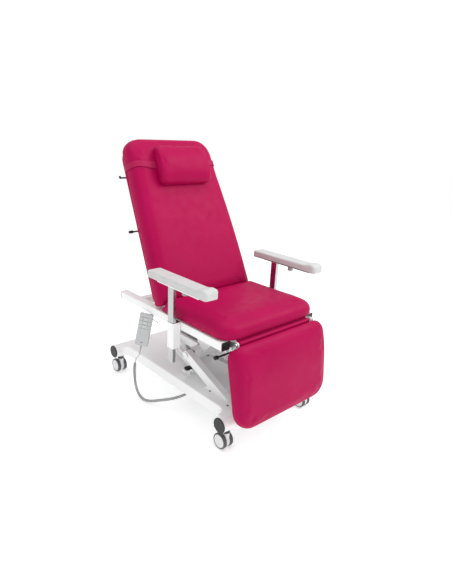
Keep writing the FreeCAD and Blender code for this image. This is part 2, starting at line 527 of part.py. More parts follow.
# guides of the backrest release rod
LS, LD = 456.0, 140.0
for x0 in (-239.0, -120.0):
    g = box(x0, x0 + 8, D1, LD + 10, LS - 9, LS + 9).cut(Part.makeCylinder(5.0 + FIT, 40, V(x0 - 10, LD, LS), V(1, 0, 0)))
    frame.append(back(g))
put("back_frame", frame)
rodb = Part.makeCylinder(5.0, 216, V(-310, LD, LS), V(1, 0, 0))
kb = Part.makeCylinder(7.5, 27, V(-336, LD, LS), V(1, 0, 0))
kb = kb.makeFillet(6.0, [e for e in kb.Edges if len(e.Vertexes) == 1])
put("back_release_rod", back(rodb.fuse(kb).removeSplitter()))
RS, RD = 759.0, 130.0
rb = Part.makeCylinder(5.0, 594, V(-306, RD, RS), V(1, 0, 0))
rb = rb.fuse(Part.makeSphere(5.0, V(-306, RD, RS))).fuse(Part.makeCylinder(5.0, 9, V(-306, RD, RS), V(-0.35, 0, 0.94)))
for x0 in (-170.0, 164.0):
    rb = rb.fuse(box(x0, x0 + 6, D1, RD + 8, 718, RS + 8))
put("paper_roll_bar", back(rb.removeSplitter()))
pil = box(PIL_X - PIL_W, PIL_X + PIL_W, -PIL_T, -3.0, PIL_S0, PIL_S1)
pil = pil.makeFillet(34.0, [e for e in pil.Edges if e.BoundBox.XLength > 100])
put("head_pillow", back(pil))


def half_w(s):
    return BACK_WB + (BACK_WT - BACK_WB) * (s - 22) / (BACK_TOP - 22)


hw0, hw1 = half_w(STRAP_S0), half_w(STRAP_S1)
outer = prism_y([(-hw0 - 3.6, STRAP_S0, 0), (hw0 + 3.6, STRAP_S0, 0), (hw1 + 3.6, STRAP_S1, 0), (-hw1 - 3.6, STRAP_S1, 0)], -2.4, D0 + 2.4)
inner = prism_y([(-hw0 - 1.6 - 2, STRAP_S0 - 40, 0), (hw0 + 1.6 + 2, STRAP_S0 - 40, 0), (hw1 + 1.6 - 2, STRAP_S1 + 40, 0), (-hw1 - 1.6 + 2, STRAP_S1 + 40, 0)], -0.4, D0 + 0.4)
put("pillow_strap", back(outer.cut(inner)))

ba_, br_, bl_, bang = actuator(BP0, BLUG, BACT_X, 212.0, 18.0, 10.0, 20.0, 15.0, 6.0, 15.0, 10.2, 50.0)
bm = Part.makeBox(40, 96, 52, V(20, 30, -26))
bm = bm.makeFillet(8.0, bm.Edges)
ba_ = ba_.fuse([bm, box(10, 24, 44, 74, -12, 12)]).cut(Part.makeCylinder(10.0 + FIT, 212, V(0, 41, 0), V(0, 1, 0)))
put("back_actuator", place(ba_.removeSplitter(), BP0, bang, BACT_X))
put("back_actuator_rod", place(br_, BP0, bang, BACT_X))

# ---------------------------------------------------------------- leg rest
lw = [(-LEG_W, LEG_BOT, 92), (LEG_W, LEG_BOT, 92), (LEG_W, LEG_TOP, 60), (-LEG_W, LEG_TOP, 60)]
lc = prism_y(lw, LEG_F, LEG_R)
lc = lc.makeFillet(34.0, [e for e in lc.Edges if e.BoundBox.YMax < LEG_F + 1e-3])
# room for the knee roll and its plates, and a pocket over the spring's eye
lc = lc.cut(box(-400, 400, -17, 20, -17, 50)).cut(xcyl(0, 0, 17.0, -400, 400))
lc = lc.cut(box(LEGS_X - 12, LEGS_X + 12, 1, 20, -81, -34))
put("leg_cushion", leg(lc))
lf = []
lf.append(prism_y([(-290, LEG_BOT + 30, 62), (290, LEG_BOT + 30, 62), (290, -32, 20), (-290, -32, 20)], LEG_R, LEG_R + 2)
          .cut(box(LEGS_X - 10, LEGS_X + 10, LEG_R - 1, LEG_R + 3, -81, -31)))
for s in (-1, 1):
    x0, x1 = sorted((s * 209, s * 231))
    lf.append(box(x0, x1, 16, 38, -310, -46))
    x0, x1 = sorted((s * 231, s * 264))
    lf.append(box(x0, x1, 16, 38, -78, -52))
up_tube = box(-209, 209, 16, 38, -104, -82)
lf += [up_tube, box(-209, 209, 16, 38, -310, -288)]
lf = [leg(q) for q in lf]
pan_leg = lf[0]
lf += both(lambda: stadium((LEG_HY, LEG_HZ), leg_pt(28, -62), 14.0, 264, 270).cut(xcyl(LEG_HY, LEG_HZ, KNEE_TUBE + FIT, 200, 300))
           .cut(leg(box(200, 300, LEG_F - 5, 16, -120, -16.5))))
upt = leg(up_tube)
for s in (-1, 1):
    x0, x1 = sorted((LEGS_X + s * 10, LEGS_X + s * 14))
    q = stadium(leg_pt(30, -92), GLUG, 10.0, x0, x1).cut(upt).cut(leg(box(-300, 300, LEG_F - 5, 16.2, -300, 60)))
    lf.append(sorted(q.Solids, key=lambda z: -z.Volume)[0])
lf.append(xcyl(*leg_pt(23.4, -57.3), 3.0, LEGS_X - 10, LEGS_X + 10))
put("leg_frame", lf)
GL2 = leg_pt(23.4, -57.3)
ga_, gr_, gl_, gang = actuator(GP0, GL2, LEGS_X, 116.0, 12.0, 6.0, 14.0, 11.0, 5.0, 13.0, 10.6, 3.0)
put("leg_gas_spring", place(ga_, GP0, gang, LEGS_X))
put("leg_spring_rod", place(gr_, GP0, gang, LEGS_X))

# ---------------------------------------------------------------- handset on its hanger


def hs(shape):
    q = shape.copy()
    q.translate(V(0, 0, RELIEF_L))
    q.rotate(V(0, 0, 0), V(0, 1, 0), HS_LEAN)
    q.rotate(V(0, 0, 0), V(0, 0, 1), HS_TURN)
    q.translate(V(*HS_EXIT))
    return q


shell = box(-HS_W / 2, HS_W / 2, -HS_T / 2, HS_T / 2, 0, HS_H)
shell = shell.makeFillet(6.0, [e for e in shell.Edges if e.BoundBox.ZLength > 100])
shell = shell.makeFillet(3.0, [e for e in shell.Edges if abs(e.CenterOfMass.z) < 1e-3 or abs(e.CenterOfMass.z - HS_H) < 1e-3])
KEY_W, KEY_H, KEY_T = 26.0, 7.6, 3.6
keys = []
yf0 = -HS_T / 2
for i, zc in enumerate((160.0, 138.0, 116.0)):
    pocket = prism_y([(-KEY_W - 0.5, zc - KEY_H - 0.5, 7.5), (KEY_W + 0.5, zc - KEY_H - 0.5, 7.5),
                      (KEY_W + 0.5, zc + KEY_H + 0.5, 7.5), (-KEY_W - 0.5, zc + KEY_H + 0.5, 7.5)], yf0 - 1, yf0 + 5.2)
    shell = shell.cut(pocket)
    shell = shell.cut(Part.makeCylinder(1.0 + FIT, 2 * KEY_H + 5.4, V(0, yf0 + 1.2, zc - KEY_H - 2.7)))
    k = prism_y([(-KEY_W, zc - KEY_H, 7.0), (KEY_W, zc - KEY_H, 7.0), (KEY_W, zc + KEY_H, 7.0), (-KEY_W, zc + KEY_H, 7.0)], yf0 - 1.2, yf0 - 1.2 + KEY_T)
    k = k.makeFillet(0.7, [e for e in k.Edges if abs(e.CenterOfMass.y - (yf0 - 1.2)) < 1e-3])
    k = k.fuse(Part.makeCylinder(1.0, 2 * KEY_H + 4.4, V(0, yf0 + 1.2, zc - KEY_H - 2.2)))
    keys.append(k.removeSplitter())
for nm, k in zip(("key_height", "key_back", "key_leg"), keys):
    put(nm, hs(k))
put("handset_shell", hs(shell))
put("handset_strain_relief", hs(Part.makeCone(LEAD_D / 2, 6.5, RELIEF_L, V(0, 0, -RELIEF_L))))


def hs_pt(x, y, z):
    q = Part.Vertex(V(x, y, z)).copy()
    q = hs(q)
    return (q.Point.x, q.Point.y, q.Point.z)


p_back = hs_pt(-6, HS_T / 2, 170)
p_side = hs_pt(HS_W / 2, 0, 166)
hang = []
hang.append(rod(p_back, (p_back[0] + 12, p_back[1] + 10, RAIL_Z0), 2.0).cut(hs(box(-HS_W / 2, HS_W / 2, -HS_T / 2, HS_T / 2, 0, HS_H)))
            .cut(box(RAIL_X0 * -1 - 60, -RAIL_X0, -500, 500, RAIL_Z0, 600)))
mid = (-322.0, 40.0, p_side[2] - 8)
h2 = rod(p_side, mid, 2.0).fuse(Part.makeSphere(2.0, V(*mid))).fuse(rod(mid, (-316.0, 8.0, RAIL_Z0), 2.0))
h2 = h2.cut(hs(box(-HS_W / 2, HS_W / 2, -HS_T / 2, HS_T / 2, 0, HS_H))).cut(box(-400, -RAIL_X0, -500, 500, RAIL_Z0, 600))
hang.append(h2.removeSplitter())
put("handset_hanger", hang)

# ---------------------------------------------------------------- cord: thin lead, then the curly length
E = HS_EXIT
up = hs_pt(0, 0, -RELIEF_L)
dn = hs_pt(0, 0, -RELIEF_L - 10)
dirn = (dn[0] - up[0], dn[1] - up[1], dn[2] - up[2])
LEAD_PTS = [E, (E[0] + dirn[0] * 2.6, E[1] + dirn[1] * 2.6, E[2] + dirn[2] * 2.6), (-386.0, 165.63, 251.76), (-386.0, 174.0, 222.0)]
CURL_PTS = [(-386.0, 174.0, 222.0), (-386.0, 183.0, 190.0), (-387.0, 181.0, 142.0), (-388.0, 174.0, 94.0), (-387.0, 160.0, 54.0),
            (-387.0, 130.0, 27.0), (-386.0, 84.0, 19.5), (-372.0, 34.0, 31.0), (-351.0, -16.0, 54.0), (-334.0, -72.0, 80.0),
            (-312.0, -118.0, 104.0), (-274.0, -144.0, 121.0), (-228.0, -150.0, 129.0), (-180.0, GL_Y, GL_Z), (-134.0, GL_Y, GL_Z)]


def route(pts, name, dia):
    """straight runs joined by the largest tangent arcs that the runs allow"""
    P = [V(*p) for p in pts]
    edges, last, radii, length = [], P[0], [], 0.0
    for i in range(1, len(P) - 1):
        a, b = P[i - 1].sub(P[i]), P[i + 1].sub(P[i])
        la, lb = a.Length, b.Length
        u, w = a.multiply(1 / la), b.multiply(1 / lb)
        turn = math.pi - u.getAngle(w)
        t = 0.45 * min(la, lb)
        radii.append(t / math.tan(turn / 2))
        s, e = P[i].add(u * t), P[i].add(w * t)
        m = u.add(w)
        m.normalize()
        r = radii[-1]
        c = P[i].add(m * math.sqrt(t * t + r * r))
        md = c.sub(m * r)
        edges.append(Part.LineSegment(last, s).toShape())
        edges.append(Part.Arc(s, md, e).toShape())
        last = e
    edges.append(Part.LineSegment(last, P[-1]).toShape())
    w = Part.Wire(edges)
    length = sum(e.Length for e in edges)
    d = P[1].sub(P[0])
    prof = Part.Wire([Part.makeCircle(dia / 2, P[0], d)])
    solid = w.makePipeShell([prof], True, False)
    print(name, "length %.1f" % length, "radii", [round(r) for r in radii],
          "runs", [round(P[i + 1].sub(P[i]).Length) for i in range(len(P) - 1)],
          "volume ratio %.4f" % (solid.Volume / (math.pi * dia * dia / 4 * length)))
    return solid


put("cord_lead", route(LEAD_PTS, "lead", LEAD_D))
put("curly_cord", route(CURL_PTS, "curl", CURL_D))

# ---------------------------------------------------------------- write
CORD = ("cord_lead", "curly_cord")
lo, hi = [1e9] * 3, [-1e9] * 3
for name, shapes in NODES.items():
    out = []
    for q in shapes:
        for sol in q.Solids:
            c = sol.copy()
            c.translate(V(0, DY, DZ))
            out.append(c)
    comp = out[0] if len(out) == 1 else Part.makeCompound(out)
    if not comp.isValid():
        print("INVALID", name)
    if name not in CORD:
        b = comp.optimalBoundingBox(False, False)
        for k, (p, q) in enumerate(((b.XMin, b.XMax), (b.YMin, b.YMax), (b.ZMin, b.ZMax))):
            lo[k], hi[k] = min(lo[k], p), max(hi[k], q)
    comp.exportStep("parts/%s.step" % name)
print(len(NODES), "nodes; box", [round(v, 2) for v in lo], [round(v, 2) for v in hi],
      "centre", [round((a + b) / 2, 2) for a, b in zip(lo, hi)])
print("pivots (shifted): HB", HB[0] + DY, HB[1], "LLUG", LLUG[0] + DY, LLUG[1], "BLUG", BLUG[0] + DY, BLUG[1], "GL2", GL2[0] + DY, GL2[1], "L", LY + DY, LZ)
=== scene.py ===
import bpy, bmesh, math
import numpy as np
from mathutils import Vector, Matrix
from mathutils.bvhtree import BVHTree


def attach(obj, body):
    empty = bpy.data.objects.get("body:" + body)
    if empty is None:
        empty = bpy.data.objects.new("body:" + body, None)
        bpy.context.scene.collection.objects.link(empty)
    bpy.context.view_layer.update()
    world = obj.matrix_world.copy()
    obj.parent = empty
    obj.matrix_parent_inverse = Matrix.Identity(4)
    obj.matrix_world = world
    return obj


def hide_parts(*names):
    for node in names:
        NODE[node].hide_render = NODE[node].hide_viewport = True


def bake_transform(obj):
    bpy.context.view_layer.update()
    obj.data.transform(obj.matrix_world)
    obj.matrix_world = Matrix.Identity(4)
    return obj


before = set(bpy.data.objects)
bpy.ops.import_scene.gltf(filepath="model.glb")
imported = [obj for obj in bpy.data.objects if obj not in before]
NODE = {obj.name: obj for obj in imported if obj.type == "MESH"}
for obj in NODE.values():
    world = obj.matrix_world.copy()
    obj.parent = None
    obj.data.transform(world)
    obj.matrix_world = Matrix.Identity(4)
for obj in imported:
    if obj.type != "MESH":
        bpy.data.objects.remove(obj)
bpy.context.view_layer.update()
SC = bpy.context.scene

# ------------------------------------------------------------------ dimensions, mm, as in the construction
DY, DZ = 57.8, -8.5
BACK_TILT, BACK_Y0, BACK_Z0 = math.radians(26.5), -32.0, 600.0
BACK_WB, BACK_WT, BACK_TOP = 333.0, 292.0, 940.0
LEG_TILT, LEG_HY, LEG_HZ = math.radians(11.0), -518.0, 560.0
CA, SA = math.cos(BACK_TILT), math.sin(BACK_TILT)
CL, SL = math.cos(LEG_TILT), math.sin(LEG_TILT)


def row(x, y, z):
    """millimetres in the drawing frame to metres in the row frame"""
    return (x / 1000.0, (y + DY) / 1000.0, (z + DZ) / 1000.0)


def back_xyz(x, s, d):
    return row(x, BACK_Y0 + s * SA + d * CA, BACK_Z0 + s * CA - d * SA)


def leg_xyz(x, y, z):
    return row(x, LEG_HY + y * CL + z * SL, LEG_HZ - y * SL + z * CL)


def smooth(t):
    t = min(1.0, max(0.0, t))
    return t * t * (3 - 2 * t)


# ------------------------------------------------------------------ materials
class Mat:
    """a small helper round one node tree"""

    def __init__(self, name):
        self.m = bpy.data.materials.new(name)
        self.m.use_nodes = True
        self.nt = self.m.node_tree
        self.b = self.nt.nodes["Principled BSDF"]
        self.co = self.nt.nodes.new("ShaderNodeTexCoord").outputs["Object"]

    def link(self, a, b):
        self.nt.links.new(a, b)

    def put(self, socket, v):
        self.b.inputs[socket].default_value = v
        return self

    def scaled(self, vec):
        n = self.nt.nodes.new("ShaderNodeMapping")
        n.inputs["Scale"].default_value = vec
        self.link(self.co, n.inputs["Vector"])
        return n.outputs["Vector"]

    def noise(self, scale, detail=3.0, rough=0.55, co=None, distort=0.0):
        n = self.nt.nodes.new("ShaderNodeTexNoise")
        n.inputs["Scale"].default_value = scale
        n.inputs["Detail"].default_value = detail
        n.inputs["Roughness"].default_value = rough
        n.inputs["Distortion"].default_value = distort
        self.link(co or self.co, n.inputs["Vector"])
        return n.outputs["Fac"]

    def cells(self, scale, feature="SMOOTH_F1", co=None):
        n = self.nt.nodes.new("ShaderNodeTexVoronoi")
        n.feature = feature
        n.inputs["Scale"].default_value = scale
        self.link(co or self.co, n.inputs["Vector"])
        return n.outputs["Distance"]

    def rng(self, fac, a, b, lo=0.0, hi=1.0):
        n = self.nt.nodes.new("ShaderNodeMapRange")
        n.inputs["From Min"].default_value, n.inputs["From Max"].default_value = lo, hi
        n.inputs["To Min"].default_value, n.inputs["To Max"].default_value = a, b
        self.link(fac, n.inputs["Value"])
        return n.outputs["Result"]

    def colour(self, fac, a, b, lo=0.3, hi=0.7):
        n = self.nt.nodes.new("ShaderNodeValToRGB")
        e = n.color_ramp.elements
        e[0].position, e[1].position = lo, hi
        e[0].color, e[1].color = (*a, 1), (*b, 1)
        self.link(fac, n.inputs["Fac"])
        return n.outputs["Color"]

    def mix(self, fac, a, b, kind="MIX"):
        n = self.nt.nodes.new("ShaderNodeMix")
        n.data_type, n.blend_type = "RGBA", kind
        self.link(fac, n.inputs[0])
        self.link(a, n.inputs[6])
        if isinstance(b, tuple):
            n.inputs[7].default_value = (*b, 1)
        else:
            self.link(b, n.inputs[7])
        return n.outputs[2]

    def bump(self, height, distance, strength=1.0, normal=None):
        n = self.nt.nodes.new("ShaderNodeBump")
        n.inputs["Strength"].default_value = strength
        n.inputs["Distance"].default_value = distance
        self.link(height, n.inputs["Height"])
        if normal is not None:
            self.link(normal, n.inputs["Normal"])
        return n.outputs["Normal"]

    def out(self, base=None, rough=None, normal=None):
        if base is not None:
            self.link(base, self.b.inputs["Base Color"])
        if rough is not None:
            self.link(rough, self.b.inputs["Roughness"])
        if normal is not None:
            self.link(normal, self.b.inputs["Normal"])
        return self.m


def make_vinyl(name, gain, pale):
    k = Mat(name)
    k.put("Specular IOR Level", 0.09)
    big = k.noise(5.0, 3)
    fine = k.noise(150.0, 3)
    col = k.colour(big, (0.386 * gain, 0.0012 + pale, 0.0655 + pale), (0.424 * gain, 0.0022 + pale, 0.0755 + pale))
    col = k.mix(k.rng(fine, 0.0, 0.22, 0.35, 0.75), col, (0.335, 0.0011, 0.053))
    grain = k.cells(620.0)
    pores = k.noise(1500.0, 2)
    rough = k.rng(k.noise(22.0, 4), 0.40, 0.54, 0.3, 0.7)
    n0 = k.bump(k.noise(9.0, 2), 0.0035, 0.18)
    n1 = k.bump(grain, 0.00035, 0.42, n0)
    n2 = k.bump(pores, 0.00012, 0.35, n1)
    return k.out(col, rough, n2)


def make_paint(name, a, b, rough=(0.30, 0.42), spec=0.5):
    """powder coat: faint orange peel, slight tone drift, a touch of handling haze"""
    k = Mat(name)
    k.put("Specular IOR Level", spec)
    col = k.colour(k.noise(3.2, 4), a, b)
    haze = k.noise(42.0, 5, 0.65)
    col = k.mix(k.rng(haze, 0.0, 0.10, 0.56, 0.80), col, tuple(0.72 * c for c in a))
    r = k.rng(k.noise(30.0, 4), rough[0], rough[1], 0.3, 0.7)
    n = k.bump(k.noise(620.0, 2), 0.00010, 0.30)
    n = k.bump(k.noise(90.0, 2), 0.00018, 0.18, n)
    return k.out(col, r, n)


def make_plastic(name, a, b, rough=(0.42, 0.58), grain=900.0, depth=0.00012, spec=0.45):
    """moulded plastic with an eroded texture and a little rub wear"""
    k = Mat(name)
    k.put("Specular IOR Level", spec)
    col = k.colour(k.noise(14.0, 4), a, b)
    rub = k.noise(55.0, 5, 0.7)
    col = k.mix(k.rng(rub, 0.0, 0.30, 0.58, 0.80), col, tuple(min(1.0, c * 1.25 + 0.006) for c in b))
    r = k.rng(k.noise(48.0, 3), rough[0], rough[1], 0.3, 0.7)
    n = k.bump(k.cells(grain), depth, 0.5)
    n = k.bump(k.noise(grain * 2.2, 2), depth * 0.5, 0.4, n)
    return k.out(col, r, n)


def make_metal(name, a, b, rough, stretch=(1, 1, 1), scale=260.0, depth=0.00004):
    k = Mat(name)
    k.put("Metallic", 1.0)
    co = k.scaled(stretch)
    streak = k.noise(scale, 4, 0.6, co)
    col = k.colour(streak, a, b)
    smudge = k.noise(18.0, 4)
    r = k.rng(smudge, rough[0], rough[1], 0.3, 0.72)
    n = k.bump(streak, depth, 0.35)
    return k.out(col, r, n)


def make_board():
    k = Mat("laminated_board")
    k.put("Specular IOR Level", 0.4)
    grain = k.noise(60.0, 5, 0.6, k.scaled((14.0, 1.0, 1.0)), 0.4)
    col = k.colour(grain, (0.030, 0.029, 0.028), (0.052, 0.050, 0.048), 0.35, 0.68)
    r = k.rng(k.noise(40.0, 4), 0.48, 0.66, 0.3, 0.7)
    n = k.bump(grain, 0.00025, 0.3)
    n = k.bump(k.cells(700.0), 0.00010, 0.3, n)
    return k.out(col, r, n)


VINYL = make_vinyl("upholstery_vinyl", 1.0, 0.0)
BAND = make_vinyl("strap_vinyl", 1.0, 0.013)
WHITE = make_paint("powder_coat_white", (0.895, 0.90, 0.903), (0.925, 0.93, 0.933))
PADGREY = make_plastic("armrest_moulding", (0.555, 0.558, 0.56), (0.60, 0.603, 0.605), (0.46, 0.60), 480.0, 0.00016, 0.35)
DARK = make_plastic("dark_moulding", (0.020, 0.0205, 0.0215), (0.028, 0.0285, 0.030))
BLACK = make_plastic("black_moulding", (0.010, 0.010, 0.011), (0.016, 0.016, 0.017), (0.38, 0.52))
LIGHT = make_plastic("light_moulding", (0.72, 0.725, 0.73), (0.78, 0.785, 0.79), (0.32, 0.46), 700.0, 0.00006)
TREAD = make_plastic("wheel_tread", (0.090, 0.092, 0.095), (0.120, 0.122, 0.126), (0.55, 0.72), 420.0, 0.00018, 0.3)
RUBBER = make_plastic("black_rubber", (0.010, 0.010, 0.010), (0.018, 0.018, 0.018), (0.60, 0.78), 350.0, 0.00018, 0.25)
GREY = make_plastic("handset_moulding", (0.50, 0.51, 0.515), (0.55, 0.56, 0.565), (0.44, 0.58), 800.0, 0.00012)
KEYS = make_plastic("key_moulding", (0.56, 0.57, 0.575), (0.61, 0.62, 0.625), (0.36, 0.48), 900.0, 0.00005)
SIGN = make_plastic("key_symbol", (0.17, 0.175, 0.18), (0.21, 0.215, 0.22), (0.45, 0.55))
CORDGREY = make_plastic("cord_sheath", (0.40, 0.405, 0.41), (0.46, 0.465, 0.47), (0.44, 0.60), 500.0, 0.00008)
HOUSING = make_plastic("actuator_housing", (0.30, 0.305, 0.31), (0.36, 0.365, 0.37), (0.44, 0.60))
POSTS = make_metal("satin_tube", (0.46, 0.465, 0.47), (0.54, 0.545, 0.55), (0.16, 0.28), (1.0, 1.0, 0.03), 500.0, 0.00002)
ZINC = make_metal("zinc_plate", (0.46, 0.47, 0.48), (0.62, 0.63, 0.64), (0.26, 0.44), (0.06, 1.0, 1.0), 420.0)
STEEL = make_metal("bright_bar", (0.52, 0.53, 0.54), (0.66, 0.67, 0.68), (0.18, 0.32), (0.02, 1.0, 1.0), 600.0)
BOLT = make_metal("dark_bolt", (0.10, 0.10, 0.105), (0.17, 0.17, 0.175), (0.30, 0.46), (1, 1, 1), 300.0)
ROD = make_metal("dark_bar", (0.15, 0.153, 0.158), (0.21, 0.214, 0.22), (0.32, 0.46), (0.02, 1.0, 1.0), 600.0)
BOARD = make_board()


# ------------------------------------------------------------------ mesh helpers
def obj_from(name, verts, faces, mats, smooth_shade=True):
    me = bpy.data.meshes.new(name)
    me.from_pydata([tuple(v) for v in verts], [], faces)
    me.validate()
    o = bpy.data.objects.new(name, me)
    SC.collection.objects.link(o)
    for m in mats if isinstance(mats, (list, tuple)) else [mats]:
        me.materials.append(m)
    if smooth_shade:
        me.polygons.foreach_set("use_smooth", [True] * len(me.polygons))
    bm = bmesh.new()
    bm.from_mesh(me)
    bmesh.ops.remove_doubles(bm, verts=bm.verts, dist=1e-6)
    bmesh.ops.recalc_face_normals(bm, faces=bm.faces)
    bm.to_mesh(me)
    bm.free()
    return o


def subsurf(o, levels=1):
    m = o.modifiers.new("subd", "SUBSURF")
    m.levels = m.render_levels = levels
    return o


def apply_all(o):
    dg = bpy.context.evaluated_depsgraph_get()
    dg.update()
    me = bpy.data.meshes.new_from_object(o.evaluated_get(dg))
    old = o.data
    o.modifiers.clear()
    o.data = me
    bpy.data.meshes.remove(old)
    return o


def coords(me):
    a = np.zeros(len(me.vertices) * 3)
    me.vertices.foreach_get("co", a)
    return a.reshape(-1, 3)


def set_coords(me, a):
    me.vertices.foreach_set("co", np.asarray(a, np.float32).ravel())
    me.update()


def relax(me, rounds, keep=None, amount=0.5):
    """plain neighbour averaging"""
    e = np.zeros(len(me.edges) * 2, np.int32)
    me.edges.foreach_get("vertices", e)
    e = e.reshape(-1, 2)
    p = coords(me)
    n = len(p)
    deg = np.bincount(e.ravel(), minlength=n).astype(float)[:, None]
    for _ in range(rounds):
        s = np.zeros_like(p)
        np.add.at(s, e[:, 0], p[e[:, 1]])
        np.add.at(s, e[:, 1], p[e[:, 0]])
        q = p + amount * (s / np.maximum(deg, 1) - p)
        if keep is not None:
            q[keep] = p[keep]
        p = q
    set_coords(me, p)


def outline(corners, inset, n_arc=9, n_side=12, rmin=5.0):
    """points of a rounded polygon, moved inwards by inset; corners are (u, v, radius), counter-clockwise"""
    n = len(corners)
    lines = []
    for i in range(n):
        a, b = corners[i], corners[(i + 1) % n]
        d = Vector((b[0] - a[0], b[1] - a[1])).normalized()
        nrm = Vector((-d.y, d.x))
        lines.append((Vector((a[0], a[1])) + nrm * inset, d))
    pts = []
    new = []
    for i in range(n):
        (p, d), (q, e) = lines[i - 1], lines[i]
        den = d.x * e.y - d.y * e.x
        t = ((q.x - p.x) * e.y - (q.y - p.y) * e.x) / den
        new.append(p + d * t)
    arcs = []
    for i in range(n):
        c, pr, nx = new[i], new[i - 1], new[(i + 1) % n]
        r = max(corners[i][2] - inset, rmin)
        u, w = (pr - c).normalized(), (nx - c).normalized()
        half = math.acos(max(-1, min(1, u.dot(w)))) / 2
        t = r / math.tan(half)
        cen = c + (u + w).normalized() * (r / math.sin(half))
        a0, a1 = (c + u * t) - cen, (c + w * t) - cen
        t0 = math.atan2(a0.y, a0.x)
        dt = (math.atan2(a1.y, a1.x) - t0 + math.pi) % (2 * math.pi) - math.pi
        arcs.append([cen + Vector((math.cos(t0 + dt * k / n_arc), math.sin(t0 + dt * k / n_arc))) * r for k in range(n_arc + 1)])
    for i in range(n):
        pts += arcs[i]
        a, b = arcs[i][-1], arcs[(i + 1) % n][0]
        pts += [a + (b - a) * (k / (n_side + 1)) for k in range(1, n_side + 1)]
    return pts


def loft(name, corners, prof, height, place, mats, spine, inner=7, back_inner=3, n_arc=9, n_side=12):
    """closed cushion: rings at (inset, level, part) pairs from the rear rim to the front, then in to a spine.
    level is the depth on the sides; on the crown height(u, v, t) gives it."""
    rings = []
    for i, (ins, lev) in enumerate(prof):
        cor = corners(i) if callable(corners) else corners
        rings.append([(p.x, p.y, lev(p.x, p.y) if callable(lev) else lev) for p in outline(cor, ins, n_arc, n_side)])
    (ax, ay), (bx, by) = spine
    ab = Vector((bx - ax, by - ay))

    def to_spine(p):
        if ab.length < 1e-6:
            return Vector((ax, ay))
        t = max(0, min(1, (Vector((p[0] - ax, p[1] - ay))).dot(ab) / ab.length_squared))
        return Vector((ax, ay)) + ab * t

    last, first = rings[-1], rings[0]
    for k in range(1, inner + 1):
        t = k / inner
        r = []
        for p in last:
            q = to_spine(p)
            u, v = p[0] + (q.x - p[0]) * t, p[1] + (q.y - p[1]) * t
            r.append((u, v, height(u, v)))
        rings.append(r)
    low = []
    for k in range(back_inner, 0, -1):
        t = k / back_inner
        low.append([(p[0] + (to_spine(p).x - p[0]) * t, p[1] + (to_spine(p).y - p[1]) * t, p[2]) for p in first])
    rings = low + rings
    m = len(rings[0])
    verts = [place(*p) for r in rings for p in r]
    faces = []
    for i in range(len(rings) - 1):
        for j in range(m):
            faces.append((i * m + j, i * m + (j + 1) % m, (i + 1) * m + (j + 1) % m, (i + 1) * m + j))
    return obj_from(name, verts, faces, mats)


def quarter(a, z0, z1, n=8, power=2.0):
    """(inset, level) pairs of a rounded upper edge"""
    out = []
    for k in range(1, n + 1):
        f = math.pi / 2 * k / n
        out.append((a * (1 - math.cos(f) ** (2 / power)), (lambda f: (lambda u, v: z0 + ((z1(u, v) if callable(z1) else z1) - z0) * math.sin(f) ** (2 / power)))(f)))
    return out


def puff(o, voxel, cap, pinned, pressure=4.0, frames=18, presmooth=6, post=2):
    """voxel remesh, then a short pressure simulation of the cover with the displacement capped"""
    m = o.modifiers.new("voxels", "REMESH")
    m.mode = "VOXEL"
    m.voxel_size = voxel
    m.use_smooth_shade = True
    mats = list(o.data.materials)
    apply_all(o)
    o.data.materials.clear()
    for mt in mats:
        o.data.materials.append(mt)
    relax(o.data, presmooth)
    rest = coords(o.data)
    g = o.vertex_groups.new(name="pin")
    idx = [i for i, p in enumerate(rest) if pinned(p)]
    g.add(idx, 1.0, "REPLACE")
    c = o.modifiers.new("cover", "CLOTH")
    s = c.settings
    s.quality = 4
    s.mass = 0.25
    s.tension_stiffness = s.compression_stiffness = 18
    s.shear_stiffness = 8
    s.bending_stiffness = 1.5
    s.use_pressure = True
    s.uniform_pressure_force = pressure
    s.effector_weights.gravity = 0
    s.vertex_group_mass = "pin"
    c.collision_settings.use_collision = False
    c.collision_settings.use_self_collision = False
    c.point_cache.frame_start, c.point_cache.frame_end = 1, frames
    for f in range(1, frames + 1):
        SC.frame_set(f)
    dg = bpy.context.evaluated_depsgraph_get()
    ev = o.evaluated_get(dg)
    now = coords(ev.to_mesh())
    ev.to_mesh_clear()
    o.modifiers.clear()
    o.vertex_groups.clear()
    d = now - rest
    l = np.linalg.norm(d, axis=1)
    d *= np.where(l > cap, cap / np.maximum(l, 1e-9), 1.0)[:, None]
    # the foam inside keeps the cover from drawing in
    n = np.zeros(len(rest) * 3)
    o.data.vertex_normals.foreach_get("vector", n)
    n = n.reshape(-1, 3)
    h = (d * n).sum(axis=1)
    d += n * (np.maximum(h, -0.0009) - h)[:, None]
    set_coords(o.data, rest + d)
    SC.frame_set(1)
    relax(o.data, post)
    o.data.polygons.foreach_set("use_smooth", [True] * len(o.data.polygons))
    return o


def lathe_x(name, prof, x0, y0, z0, mats, side=1, seg=64, slot_of=None):
    """profile of (radius, x) turned about an axis along X; all mm in the drawing frame"""
    verts, faces = [], []
    k = len(prof)
    for j in range(seg):
        a = 2 * math.pi * j / seg
        for r, x in prof:
            verts.append(row(x0 + side * x, y0 + r * math.cos(a), z0 + r * math.sin(a)))
    for j in range(seg):
        for i in range(k - 1):
            faces.append((j * k + i, j * k + i + 1, ((j + 1) % seg) * k + i + 1, ((j + 1) % seg) * k + i))
    return obj_from(name, verts, faces, mats)


def lathe_z(name, prof, x0, y0, z0, mats, seg=56):
    verts, faces = [], []
    k = len(prof)
    for j in range(seg):
        a = 2 * math.pi * j / seg
        for r, z in prof:
            verts.append(row(x0 + r * math.cos(a), y0 + r * math.sin(a), z0 + z))
    for j in range(seg):
        for i in range(k - 1):
            faces.append((j * k + i, j * k + i + 1, ((j + 1) % seg) * k + i + 1, ((j + 1) % seg) * k + i))
    return obj_from(name, verts, faces, mats)


